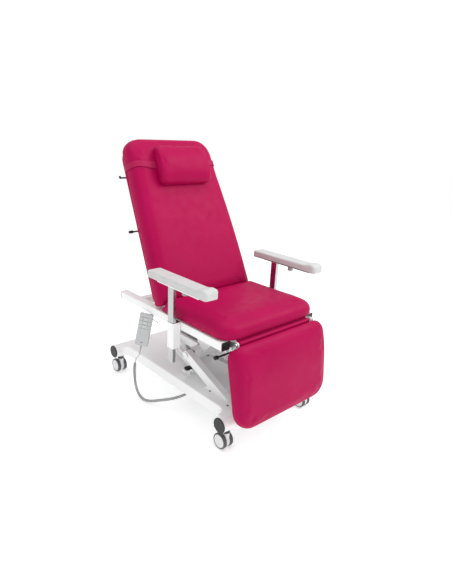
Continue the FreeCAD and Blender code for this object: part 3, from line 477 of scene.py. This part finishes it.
def edges_soft(node, width=0.0008, angle=32.0, segments=2):
    """welds the split corners of a construction mesh and breaks its sharp edges"""
    o = NODE[node]
    w = o.modifiers.new("weld", "WELD")
    w.merge_threshold = 0.00002
    b = o.modifiers.new("edge", "BEVEL")
    b.width = width
    b.segments = segments
    b.limit_method = "ANGLE"
    b.angle_limit = math.radians(angle)
    b.harden_normals = False
    b.use_clamp_overlap = True
    return o


def paint(mat, *nodes):
    for n in nodes:
        me = NODE[n].data
        me.materials.clear()
        me.materials.append(mat)


# ------------------------------------------------------------------ camera, floor and light
cam = bpy.data.cameras.new("camera")
camo = bpy.data.objects.new("camera", cam)
SC.collection.objects.link(camo)
SC.camera = camo
cam.sensor_fit = "AUTO"
cam.sensor_width = 36.0
cam.lens = 474.3 / 584.0 * 36.0
cam.clip_start, cam.clip_end = 0.05, 200.0
az, el, roll = math.radians(-43.06), math.radians(18.90), math.radians(2.81)
back_v = Vector((math.sin(az) * math.cos(el), -math.cos(az) * math.cos(el), math.sin(el)))
right_v = Vector((math.cos(az), math.sin(az), 0.0))
up_v = back_v.cross(right_v)
cx = right_v * math.cos(roll) + up_v * math.sin(roll)
cy = -right_v * math.sin(roll) + up_v * math.cos(roll)
camo.matrix_world = Matrix(((cx.x, cy.x, back_v.x, -1.674), (cx.y, cy.y, back_v.y, -1.93275 + DY / 1000),
                            (cx.z, cy.z, back_v.z, 1.5 + DZ / 1000), (0, 0, 0, 1)))

SC.view_settings.view_transform = "Standard"
SC.view_settings.look = "None"

k = Mat("floor_pale")
k.put("Roughness", 0.65).put("Specular IOR Level", 0.2).put("Emission Color", (1.0, 1.0, 1.0, 1.0)).put("Emission Strength", 0.33)
FLOOR = k.out(k.colour(k.noise(0.8, 3), (0.93, 0.93, 0.932), (0.95, 0.95, 0.952)), None, k.bump(k.noise(60.0, 2), 0.0003, 0.1))
floor = obj_from("floor", [(-40, -40, 0), (40, -40, 0), (40, 40, 0), (-40, 40, 0)], [(0, 1, 2, 3)], FLOOR, False)

world = bpy.data.worlds.new("studio")
SC.world = world
world.use_nodes = True
bg = world.node_tree.nodes["Background"]
bg.inputs["Color"].default_value = (1.0, 1.0, 1.0, 1)
# a white backdrop that lights the object a little less than it shows
lp = world.node_tree.nodes.new("ShaderNodeLightPath")
ma = world.node_tree.nodes.new("ShaderNodeMath")
ma.operation = "MULTIPLY_ADD"
ma.inputs[1].default_value, ma.inputs[2].default_value = 0.30, 0.72
world.node_tree.links.new(lp.outputs["Is Camera Ray"], ma.inputs[0])
world.node_tree.links.new(ma.outputs["Value"], bg.inputs["Strength"])


def softbox(name, loc, aim, size, power):
    l = bpy.data.lights.new(name, "AREA")
    l.shape = "RECTANGLE"
    l.size, l.size_y = size
    l.energy = power
    o = bpy.data.objects.new(name, l)
    SC.collection.objects.link(o)
    o.location = loc
    o.rotation_mode = "QUATERNION"
    o.rotation_quaternion = (Vector(aim) - Vector(loc)).to_track_quat("-Z", "Y")
    return o


softbox("key", (2.4, -2.0, 3.6), (0, 0, 0.5), (2.2, 2.2), 77)
softbox("top", (-0.4, 0.2, 4.6), (0, 0, 0.4), (3.0, 3.0), 54)
softbox("front", (-2.5, -2.9, 2.2), (0, 0, 0.7), (1.3, 1.3), 9)

# ------------------------------------------------------------------ construction nodes: finish
paint(WHITE, "base_cross_tubes", "base_pan", "pivot_brackets", "lift_arms", "parallel_links", "seat_rails", "seat_subframe",
      "armrest_sleeves", "back_frame", "leg_frame", "lift_axle", "armrest_plate_left", "armrest_plate_right")
paint(DARK, "tube_end_caps", "brake_pedal_front_left", "brake_pedal_front_right")
paint(BLACK, "rail_end_caps", "sleeve_bushes", "leg_release_rod")
paint(RUBBER, "buffer_pads")
paint(LIGHT, *["caster_fork_" + t for t in ("front_left", "front_right", "rear_left", "rear_right")])
paint(HOUSING, "control_box", "lift_actuator", "back_actuator", "armrest_knob_left", "armrest_knob_right")
paint(STEEL, "lift_rod", "back_actuator_rod", "leg_spring_rod", "handset_hanger")
paint(ROD, "paper_roll_bar", "back_release_rod")
paint(BLACK, "leg_gas_spring")
paint(WHITE, "base_screws")
paint(BOARD, "seat_board")
paint(VINYL, "back_board")
paint(POSTS, "armrest_post_left", "armrest_post_right")
paint(GREY, "handset_shell")
paint(CORDGREY, "handset_strain_relief")
paint(KEYS, "key_height", "key_back", "key_leg")
for n in ("base_pan", "pivot_brackets", "lift_arms", "parallel_links", "seat_rails", "seat_subframe", "armrest_sleeves",
          "back_frame", "leg_frame", "armrest_plate_left", "armrest_plate_right", "rail_end_caps", "control_box", "back_board", "seat_board",
          "brake_pedal_front_left", "brake_pedal_front_right"):
    edges_soft(n)
me = NODE["seat_subframe"].data
me.materials.append(ZINC)
for f in me.polygons:
    if (NODE["seat_subframe"].matrix_world @ f.center).y < (-468.0 + DY) / 1000.0:
        f.material_index = 1
for n in ("armrest_post_left", "armrest_post_right"):
    edges_soft(n, 0.0022, 32.0, 4)

# ------------------------------------------------------------------ handset cord: thin lead, then the curly length
E = (-378.0, 135.0, 301.0)
lean, turn = math.radians(10.3), math.radians(-43.0)
hz = Vector((math.sin(lean) * math.cos(turn), math.sin(lean) * math.sin(turn), math.cos(lean)))
LEAD = [E, (E[0] - hz.x * 26, E[1] - hz.y * 26, E[2] - hz.z * 26), (-386.0, 165.63, 251.76), (-386.0, 174.0, 222.0)]
CURL = [(-386.0, 174.0, 222.0), (-386.0, 183.0, 190.0), (-387.0, 181.0, 142.0), (-388.0, 174.0, 94.0), (-387.0, 160.0, 54.0),
        (-387.0, 130.0, 27.0), (-386.0, 84.0, 19.5), (-372.0, 34.0, 31.0), (-351.0, -16.0, 54.0), (-334.0, -72.0, 80.0),
        (-312.0, -118.0, 104.0), (-274.0, -144.0, 121.0), (-228.0, -150.0, 129.0), (-180.0, -150.0, 146.0), (-134.0, -150.0, 146.0)]


def nurbs_points(pts, res):
    """points read from the smooth line that has the route as its control points"""
    c = bpy.data.curves.new("route", "CURVE")
    c.dimensions = "3D"
    c.resolution_u = res
    s = c.splines.new("NURBS")
    s.points.add(len(pts) - 1)
    for p, q in zip(s.points, pts):
        p.co = (*row(*q), 1.0)
    s.order_u = 3
    s.use_endpoint_u = True
    o = bpy.data.objects.new("route", c)
    SC.collection.objects.link(o)
    dg = bpy.context.evaluated_depsgraph_get()
    me = bpy.data.meshes.new_from_object(o.evaluated_get(dg))
    out = [v.co.copy() for v in me.vertices]
    bpy.data.objects.remove(o)
    bpy.data.curves.remove(c)
    bpy.data.meshes.remove(me)
    return out


def walk(pts, step):
    """evenly spaced points along a line of points"""
    out, left = [pts[0].copy()], step
    for a, b in zip(pts, pts[1:]):
        d = b - a
        l = d.length
        pos = 0.0
        while l - pos >= left and l > 0:
            pos += left
            out.append(a + d * (pos / l))
            left = step
        left -= l - pos
    return out


def tube(name, pts, radius, mat, sides=10):
    n = len(pts)
    tang = [(pts[min(i + 1, n - 1)] - pts[max(i - 1, 0)]).normalized() for i in range(n)]
    u = tang[0].orthogonal().normalized()
    verts, faces = [], []
    for i in range(n):
        u = (u - tang[i] * u.dot(tang[i])).normalized()
        w = tang[i].cross(u)
        for j in range(sides):
            a = 2 * math.pi * j / sides
            verts.append(pts[i] + u * (radius * math.cos(a)) + w * (radius * math.sin(a)))
    for i in range(n - 1):
        for j in range(sides):
            faces.append((i * sides + j, i * sides + (j + 1) % sides, (i + 1) * sides + (j + 1) % sides, (i + 1) * sides + j))
    faces.append(tuple(range(sides - 1, -1, -1)))
    faces.append(tuple((n - 1) * sides + j for j in range(sides)))
    return obj_from(name, verts, faces, mat)


WIRE_D, COIL_R, PITCH, PER_TURN = 0.0046, 0.0059, 0.0054, 14
lead_pts = walk(nurbs_points(LEAD, 24), 0.003)
axis_pts = walk(nurbs_points(CURL, 40), PITCH / PER_TURN)
helix = []
u = (axis_pts[1] - axis_pts[0]).orthogonal().normalized()
na = len(axis_pts)
for i, p in enumerate(axis_pts):
    t = (axis_pts[min(i + 1, na - 1)] - axis_pts[max(i - 1, 0)]).normalized()
    u = (u - t * u.dot(t)).normalized()
    w = t.cross(u)
    grow = min(smooth(i / (1.2 * PER_TURN)), smooth((na - 1 - i) / (1.2 * PER_TURN)))
    a = 2 * math.pi * i / PER_TURN
    helix.append(p + (u * math.cos(a) + w * math.sin(a)) * (COIL_R * grow))
cord_path = lead_pts[:-1] + helix
cord = tube("handset_cord", cord_path, WIRE_D / 2, CORDGREY, 8)
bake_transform(cord)
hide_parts("cord_lead", "curly_cord")

# ------------------------------------------------------------------ casters
CASTERS = (("front_left", -301.0, -513.0), ("front_right", 301.0, -513.0), ("rear_left", -301.0, 483.0), ("rear_right", 301.0, 483.0))
for tag, sx, yc in CASTERS:
    wy = yc + 17.0
    for s, end in ((-1, "a"), (1, "b")):
        cxm = sx + s * 21.0
        # tyre: rounded shoulders and a shallow groove, then the rim lip
        tyre = [(34.2, -8.4), (36.6, -9.6), (38.8, -9.8), (40.4, -9.0), (41.2, -7.4), (41.5, -5.2), (41.5, -1.0), (41.1, -0.6), (41.1, 0.6), (41.5, 1.0),
                (41.5, 4.6), (41.1, 6.8), (40.2, 8.5), (38.6, 9.7), (36.8, 10.0), (35.0, 9.4), (34.2, 8.2)]
        t = lathe_x("wheel_tyre_%s_%s" % (tag, end), tyre, cxm, wy, 50.0, TREAD, s, 72)
        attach(t, "wheels_" + tag)
        # disc: dished cover outside, flat inside
        disc = [(5.2, -9.0), (31.0, -9.0), (34.4, -8.6), (34.4, 8.4), (33.8, 9.2), (32.6, 9.6), (31.8, 9.1), (31.2, 8.7), (30.5, 9.0), (28.6, 9.6), (22.0, 9.9),
                (14.0, 10.0), (11.2, 10.0), (10.5, 9.6), (9.8, 10.0), (8.8, 10.0), (4.0, 10.0), (0.0, 10.0)]
        h = lathe_x("wheel_disc_%s_%s" % (tag, end), disc, cxm, wy, 50.0, LIGHT, s, 72)
        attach(h, "wheels_" + tag)
        if s < 0:
            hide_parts("caster_wheels_" + tag)
    collar = [(0.0, 14.3), (17.4, 14.3), (18.5, 13.2), (18.8, 9.0), (18.8, 5.0), (18.2, 3.6), (18.6, 2.6), (18.6, -0.6), (17.4, -1.8), (8.0, -1.8)]
    c = lathe_z("caster_collar_" + tag, collar, sx, yc, 103.0, DARK)
    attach(c, "caster_" + tag)

# round bolt heads beside the lift arms, with a socket
for i, (bx, by, bz) in enumerate(((-229.0, -300.0, 201.2), (229.0, -300.0, 201.2), (-248.0, -459.0, 201.2), (248.0, -459.0, 201.2))):
    head = [(0.0, 0.4), (2.6, 0.4), (2.9, 2.6), (4.6, 2.6), (5.4, 2.0), (5.7, 1.0), (5.7, -0.6), (0.0, -0.6)]
    b = lathe_z("bolt_head_%d" % i, head, bx, by, bz, BOLT, 28)
    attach(b, "base")


# ------------------------------------------------------------------ seat cushion
def seat_top(x, y):
    """crest behind the front roll, a slight hollow where one sits"""
    base = 656.5 + 3.0 * math.cos((y + 360.0) / 170.0)
    hollow = 13.0 * math.exp(-((x - 10.0) / 185.0) ** 2 - ((y + 205.0) / 105.0) ** 2)
    fold = 2.6 * math.exp(-((y + 318.0 - 0.18 * x) / 20.0) ** 2 - ((x + 30.0) / 120.0) ** 2)
    return base - hollow - fold + 2.0 * math.exp(-((y + 372.0) / 60.0) ** 2)


SEAT_C = [(-329.0, -514.0, 84.0), (329.0, -514.0, 84.0), (329.0, -16.0, 18.0), (-329.0, -16.0, 18.0)]
prof = [(40.0, 575.2), (16.0, 575.0), (7.0, 575.4), (3.0, 577.2), (1.0, 581.0), (0.2, 588.0), (0.0, 598.0), (0.2, 606.0)]
prof += quarter(84.0, 607.0, seat_top, 12, 2.05)


def seat_place(x, y, z):
    """the rear follows the backrest: a low lip under it, then a face parallel to it"""
    sh = 31.0 - 27.0 * smooth((z - 581.0) / 35.0) + 20.0 * smooth((z - 626.0) / 22.0)
    return row(x, y + sh * smooth((y + 120.0) / 100.0), z)


seat = loft("seat_pad", SEAT_C, prof, seat_top, seat_place, VINYL, ((0, -290), (0, -220)), 9)
puff(seat, 0.0065, 0.006, lambda p: p[2] < 0.5775, 4.0)
subsurf(seat)
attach(seat, "seat")
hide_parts("seat_cushion")

# ------------------------------------------------------------------ backrest cushion
def back_c(i):
    """rounder at the front face than at the rear rim"""
    r = 80.0 + 46.0 * smooth((i - 5) / 11.0)
    return [(-BACK_WB + 1, 18.0, 12.0), (BACK_WB - 5, 18.0, 12.0), (BACK_WT - 7, BACK_TOP + 3, r), (-BACK_WT + 7, BACK_TOP + 3, r)]


def back_top(x, s):
    return 1.5 + 3.0 * math.cos(x / 330.0 * 1.4)


def back_place(x, s, w):
    """fuller on one side half way up, and drawn in a little where the pillow's strap can slide"""
    full = 10.0 * smooth(x / 300.0) * math.sin(math.pi * min(1.0, max(0.0, (s - 20.0) / 690.0)))
    drawn = 2.6 * math.exp(-((s - 742.0) / 26.0) ** 2) * smooth((abs(x) - 200.0) / 80.0)
    return back_xyz(x + full - math.copysign(drawn, x), s, -w)


prof = [(60.0, -97.5), (18.0, -97.5), (9.0, -95.6), (3.4, -91.0), (0.8, -84.0), (0.0, -74.0), (-0.6, -62.0), (-0.4, -52.0)]
prof += quarter(46.0, -46.0, back_top, 9, 2.05)
back = loft("back_pad", back_c, prof, back_top, back_place, VINYL, ((0, 300), (0, 700)), 9)
rear_n = Vector((0, CA, -SA))
rear_o = Vector(back_xyz(0, 0, 88.0))
puff(back, 0.0078, 0.005, lambda p: (Vector(p) - rear_o).dot(rear_n) > 0, 4.0)
subsurf(back)
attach(back, "backrest")
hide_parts("back_cushion")

# ------------------------------------------------------------------ leg rest cushion
LEG_C = [(-327.0, -420.0, 98.0), (327.0, -420.0, 98.0), (333.0, 4.0, 66.0), (-333.0, 4.0, 66.0)]


def leg_top(x, z):
    """thicker under the calves, thinner at the foot end"""
    f = math.exp(-((z + 140.0) / 150.0) ** 2)
    return 48.0 + 20.0 * f + 2.0 * math.cos(x / 330.0 * 1.4)


def leg_place(x, z, w):
    """the upper rear edge is cut back round the knee roll"""
    lim = -20.0 + 26.0 * smooth((w - 12.0) / 9.0)
    return leg_xyz(x, -w, min(z, lim))


prof = [(50.0, -13.8), (14.0, -13.6), (7.0, -12.0), (2.6, -8.4), (0.6, -3.0), (0.0, 3.0), (0.0, 10.0)]
prof += quarter(46.0, 16.0, leg_top, 10, 2.15)
legp = loft("leg_pad", LEG_C, prof, leg_top, leg_place, VINYL, ((-110, -210), (110, -210)), 9)
lrear_n = Vector((0, CL, -SL))
lrear_o = Vector(leg_xyz(0, 4.0, -230))
puff(legp, 0.0068, 0.005, lambda p: (Vector(p) - lrear_o).dot(lrear_n) > 0, 4.0)
subsurf(legp)
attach(legp, "leg_rest")
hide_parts("leg_cushion")

# ------------------------------------------------------------------ knee roll and the flap behind it
prof = [(8.2, -255.0), (10.5, -256.5), (12.2, -254.0), (12.8, -246.0)] + [(12.9 + 0.2 * math.sin(i * 1.7), -240.0 + i * 12.0) for i in range(41)] + \
       [(12.8, 246.0), (12.2, 254.0), (10.5, 256.5), (8.2, 255.0)]
roll_o = lathe_x("knee_roll_cover", prof, 0.0, LEG_HY, LEG_HZ, VINYL, 1, 40)
subsurf(roll_o)
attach(roll_o, "seat")
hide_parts("knee_roll")

FLAP = [(-478.0, 579.5), (-490.0, 578.5), (-499.0, 575.5), (-504.0, 570.5), (-505.2, 564.0), (-504.8, 556.0), (-503.0, 549.5)]
verts, faces = [], []
for i in range(33):
    x = -256.0 + 16.0 * i
    for k_, (fy, fz) in enumerate(FLAP):
        verts.append(row(x, fy + 0.5 * math.sin(i * 1.3 + k_ * 0.6), fz))
q = len(FLAP)
for i in range(32):
    for k_ in range(q - 1):
        faces.append((i * q + k_, i * q + k_ + 1, (i + 1) * q + k_ + 1, (i + 1) * q + k_))
flap = obj_from("knee_flap", verts, faces, VINYL)
m = flap.modifiers.new("thick", "SOLIDIFY")
m.thickness = 0.0016
m.offset = 0.0
subsurf(flap)
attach(flap, "seat")

# ------------------------------------------------------------------ head pillow and its strap
PW, PS0, PS1, PT, PX = 163.0, 660.0, 880.0, 76.0, 9.0


def pil_pt(x, f):
    """section of the pillow at x, f from 0 to 1 round it: flat behind, round in front"""
    a = 2 * math.pi * f
    ends = max(0.0, (abs(x) - (PW - 32.0)) / 32.0)
    shrink = 1 - 0.24 * (1 - math.sqrt(max(0.0, 1 - ends ** 2)))
    c, s = math.cos(a), math.sin(a)
    sc, sh = (PS0 + PS1) / 2 - 3.0, (PS1 - PS0) / 2 * shrink
    sv = sc + sh * math.copysign(abs(s) ** 0.80, s)
    if c >= 0:
        wv = 26.0 + (PT - 26.0) * shrink * abs(c) ** 0.86
    else:
        wv = 26.0 - 23.0 * abs(c) ** 0.40
    return sv, wv


def pil_x(x, s, w):
    """the end panels belly out a little"""
    t = 1 - ((s - 768.0) / 118.0) ** 2
    x *= 1.0 + 0.062 * (768.0 - s) / 108.0
    return PX + x + math.copysign(5.0 * max(0.0, t) * smooth((abs(x) - 120.0) / 46.0), x)


xs = [-PW + 32.0 * (1 - math.cos(math.pi / 2 * k / 9)) for k in range(10)]
xs = xs + [xs[-1] + (2 * (PW - 32.0)) * k / 22 for k in range(1, 22)] + [-q_ for q_ in reversed(xs)]
M = 80
verts, faces = [], []
for x in xs:
    for j in range(M):
        s, w = pil_pt(x, j / M)
        verts.append(back_xyz(pil_x(x, s, w), s, -w))
for i in range(len(xs) - 1):
    for j in range(M):
        faces.append((i * M + j, i * M + (j + 1) % M, (i + 1) * M + (j + 1) % M, (i + 1) * M + j))
faces += [tuple(range(M - 1, -1, -1)), tuple((len(xs) - 1) * M + j for j in range(M))]
pil = obj_from("head_cushion", verts, faces, VINYL)
pn = Vector((0, CA, -SA))
po = Vector(back_xyz(0, 0, -12.0))
puff(pil, 0.0046, 0.006, lambda p: (Vector(p) - po).dot(pn) > 0, 4.0, 14, 2, 1)
# the sewn edge of each end panel: a narrow ridge that follows the section
a = coords(pil.data)
for i, p in enumerate(a):
    x_mm = abs(p[0] * 1000.0 - PX)
    if x_mm > PW - 16.0:
        d = x_mm - (PW - 4.0)
        rad = Vector((0, p[1], p[2])) - Vector((0, *back_xyz(0, 768.0, -44.0)[1:]))
        if rad.length > 0.02:
            g = math.exp(-(d / 2.8) ** 2) * 0.0018
            a[i][1] += rad.normalized().y * g
            a[i][2] += rad.normalized().z * g
set_coords(pil.data, a)
subsurf(pil)
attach(pil, "headrest")
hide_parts("head_pillow")

dg = bpy.context.evaluated_depsgraph_get()
bvh = BVHTree.FromObject(back, dg)


def strap():
    """band of woven-backed vinyl wrapped round the backrest, lying on its surface"""
    lines = []
    for q in range(9):
        f = q / 8
        pts = []
        for side in range(200):
            # walk the section perimeter: front left to right, right edge, rear, left edge
            a = 2 * math.pi * side / 200
            x = 305.0 * math.copysign(abs(math.cos(a)) ** 0.35, math.cos(a))
            d = 48.0 + 60.0 * math.copysign(abs(math.sin(a)) ** 0.35, math.sin(a))
            o = max(smooth((abs(x) - 140.0) / 150.0), smooth((d - 48.0) / 30.0))
            edge_up = 4.0 * smooth((abs(x) - 240.0) / 60.0)
            s_lo, s_hi = 752.0 + 23.0 * o - edge_up, 797.0 + 11.0 * o
            s = s_lo + (s_hi - s_lo) * f
            src = Vector(back_xyz(x * 1.25, s, 48.0 + (d - 48.0) * 1.9))
            aim = Vector(back_xyz(x * 0.86, s, 48.0 + (d - 48.0) * 0.25))
            hit, nrm, _, _ = bvh.ray_cast(src, (aim - src).normalized())
            if hit is None:
                hit, nrm = aim, (src - aim).normalized()
            edge = min(f, 1 - f) * 2
            lift_ = 0.0043 + 0.0010 * (1 - (1 - min(1.0, edge * 2.4)) ** 2)
            pts.append(hit + nrm * lift_)
        lines.append(pts)
    m = len(lines[0])
    verts, faces = [], []
    for pts in lines:
        verts += pts
    for i in range(len(lines) - 1):
        for j in range(m):
            faces.append((i * m + j, i * m + (j + 1) % m, (i + 1) * m + (j + 1) % m, (i + 1) * m + j))
    o = obj_from("pillow_band", verts, faces, BAND)
    relax(o.data, 2)
    sol = o.modifiers.new("thick", "SOLIDIFY")
    sol.thickness = 0.0021
    sol.offset = -1.0
    subsurf(o)
    return o


band = strap()
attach(band, "headrest")
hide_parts("pillow_strap")

# ------------------------------------------------------------------ armrest pads
for tag, sgn in (("left", -1), ("right", 1)):
    def pad_top(x, y):
        up = smooth((-388.0 - y) / 34.0)
        t = min(1.0, max(0.0, (-428.0 - y) / 33.0))
        down = 15.0 * (1 - math.sqrt(max(0.0, 1 - t * t)))
        across = abs(x - sgn * 377.5) / 40.5
        return 821.0 + 10.5 * up * (1 - 0.25 * across ** 3) - down + 0.8 * math.cos(across * 1.5)

    c = [(sgn * 377.5 - 40.3, -461.5, 17.0), (sgn * 377.5 + 40.3, -461.5, 17.0), (sgn * 377.5 + 40.3, -5.5, 7.0), (sgn * 377.5 - 40.3, -5.5, 7.0)]
    prof = [(16.0, 784.5), (4.0, 784.5), (1.6, 785.2), (0.8, 787.0), (0.5, 793.0), (0.3, 800.0), (0.1, 808.0), (0.0, 812.0)]
    prof += quarter(7.0, 813.5, pad_top, 6, 2.1)
    p = loft("arm_cushion_" + tag, c, prof, pad_top, lambda x, y, z: row(x, y, z), PADGREY, ((sgn * 377.5, -430), (sgn * 377.5, -40)), 7, 2, 7, 26)
    subsurf(p)
    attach(p, "pad_" + tag)
    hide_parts("armrest_pad_" + tag)


# ------------------------------------------------------------------ small fittings
def solid_from(name, pts, depth, place, mat, bevel=0.0004):
    """a flat polygon with thickness; pts are (u, v), depth runs outwards"""
    n = len(pts)
    verts = [place(u_, v_, 0.0) for u_, v_ in pts] + [place(u_, v_, depth) for u_, v_ in pts]
    faces = [tuple(range(n)), tuple(range(2 * n - 1, n - 1, -1))] + [(i, (i + 1) % n, n + (i + 1) % n, n + i) for i in range(n)]
    o = obj_from(name, verts, faces, mat, False)
    b = o.modifiers.new("edge", "BEVEL")
    b.width, b.segments = bevel, 2
    return o


# thin black strips along the inner lower edge of each armrest pad: painted shade of the shadowed undercut beneath the
# pad
for tag, sgn in (("left", -1), ("right", 1)):
    o = solid_from("pad_painted_shade_strip_" + tag, [(-432.0, 785.0), (-8.0, 785.0), (-8.0, 789.0), (-432.0, 789.0)], 0.9,
                   lambda u_, v_, d_: row(sgn * (338.2 - d_), u_, v_), BLACK, 0.0003)
    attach(o, "pad_" + tag)

tn, ln = math.radians(-43.0), math.radians(10.3)


def hs_xyz(x, y, z):
    z += 46.0
    x, z = x * math.cos(ln) + z * math.sin(ln), -x * math.sin(ln) + z * math.cos(ln)
    x, y = x * math.cos(tn) - y * math.sin(tn), x * math.sin(tn) + y * math.cos(tn)
    return row(x - 378.0, y + 135.0, z + 301.0)


# arrows on the rocker keys and a thin groove frame round the key field
for nm, zc in (("height", 160.0), ("back", 138.0), ("leg", 116.0)):
    for side, pts in ((-1, [(-18.0, -2.8), (-10.0, -2.8), (-14.0, 3.2)]), (1, [(10.0, 2.8), (18.0, 2.8), (14.0, -3.2)])):
        o = solid_from("key_arrow_%s_%s" % (nm, "a" if side < 0 else "b"), pts, 0.35, lambda u_, v_, d_: hs_xyz(u_, -15.1 - d_, zc + v_), SIGN, 0.0001)
        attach(o, "key_" + nm)
for i, zc in enumerate((171.5, 149.0, 127.0, 104.5)):
    pts = [(-29.0, -0.7), (29.0, -0.7), (29.0, 0.7), (-29.0, 0.7)]
    o = solid_from("handset_rib_%d" % i, pts, 0.7, lambda u_, v_, d_: hs_xyz(u_, -13.9 - d_, zc + v_), SIGN, 0.0002)
    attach(o, "seat")
o = solid_from("handset_lamp", [(-7.0, -2.2), (7.0, -2.2), (7.0, 2.2), (-7.0, 2.2)], 0.6, lambda u_, v_, d_: hs_xyz(u_, -13.9 - d_, 20.0 + v_), SIGN, 0.0002)
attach(o, "seat")

# end caps of the cross beam and of the paper bar
for sgn in (-1, 1):
    pts = [(-104.0 + 2, 289.0 + 2), (-52.0 - 2, 289.0 + 2), (-52.0 - 2, 343.0 - 2), (-104.0 + 2, 343.0 - 2)]
    o = solid_from("beam_cap_" + ("left" if sgn < 0 else "right"), pts, 2.6, lambda u_, v_, d_: row(sgn * (175.9 + d_), u_, v_), BLACK, 0.0008)
    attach(o, "seat")
tip = [(0.0, -1.0), (5.6, -1.0), (6.0, 0.2), (6.0, 10.0), (5.2, 12.4), (3.2, 13.6), (0.0, 14.0)]
verts, faces = [], []
td = Vector((-0.35, 0.0, 0.94)).normalized()
tu = Vector((0, 1, 0))
tv = td.cross(tu)
for j in range(28):
    a = 2 * math.pi * j / 28
    for r_, h_ in tip:
        p = Vector((-306.0, 130.0, 759.0)) + td * (h_ - 2.0) + (tu * math.cos(a) + tv * math.sin(a)) * r_
        verts.append(back_xyz(p.x, p.z, p.y))
q = len(tip)
for j in range(28):
    for i in range(q - 1):
        faces.append((j * q + i, j * q + i + 1, ((j + 1) % 28) * q + i + 1, ((j + 1) % 28) * q + i))
o = obj_from("paper_bar_tip", verts, faces, BLACK)
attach(o, "backrest")

# soft grip over the end of the backrest release rod
grip = [(0.0, -337.0), (3.0, -336.9), (5.6, -335.8), (7.2, -333.4), (8.1, -329.6), (8.2, -318.0), (8.0, -312.6), (7.0, -309.4), (5.8, -308.2), (5.0, -308.0)]
verts, faces = [], []
for j in range(32):
    a = 2 * math.pi * j / 32
    for r_, x_ in grip:
        verts.append(back_xyz(x_, 456.0 + r_ * math.sin(a), 140.0 + r_ * math.cos(a)))
q = len(grip)
for j in range(32):
    for i in range(q - 1):
        faces.append((j * q + i, j * q + i + 1, ((j + 1) % 32) * q + i + 1, ((j + 1) % 32) * q + i))
o = obj_from("release_grip", verts, faces, BLACK)
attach(o, "back_release")
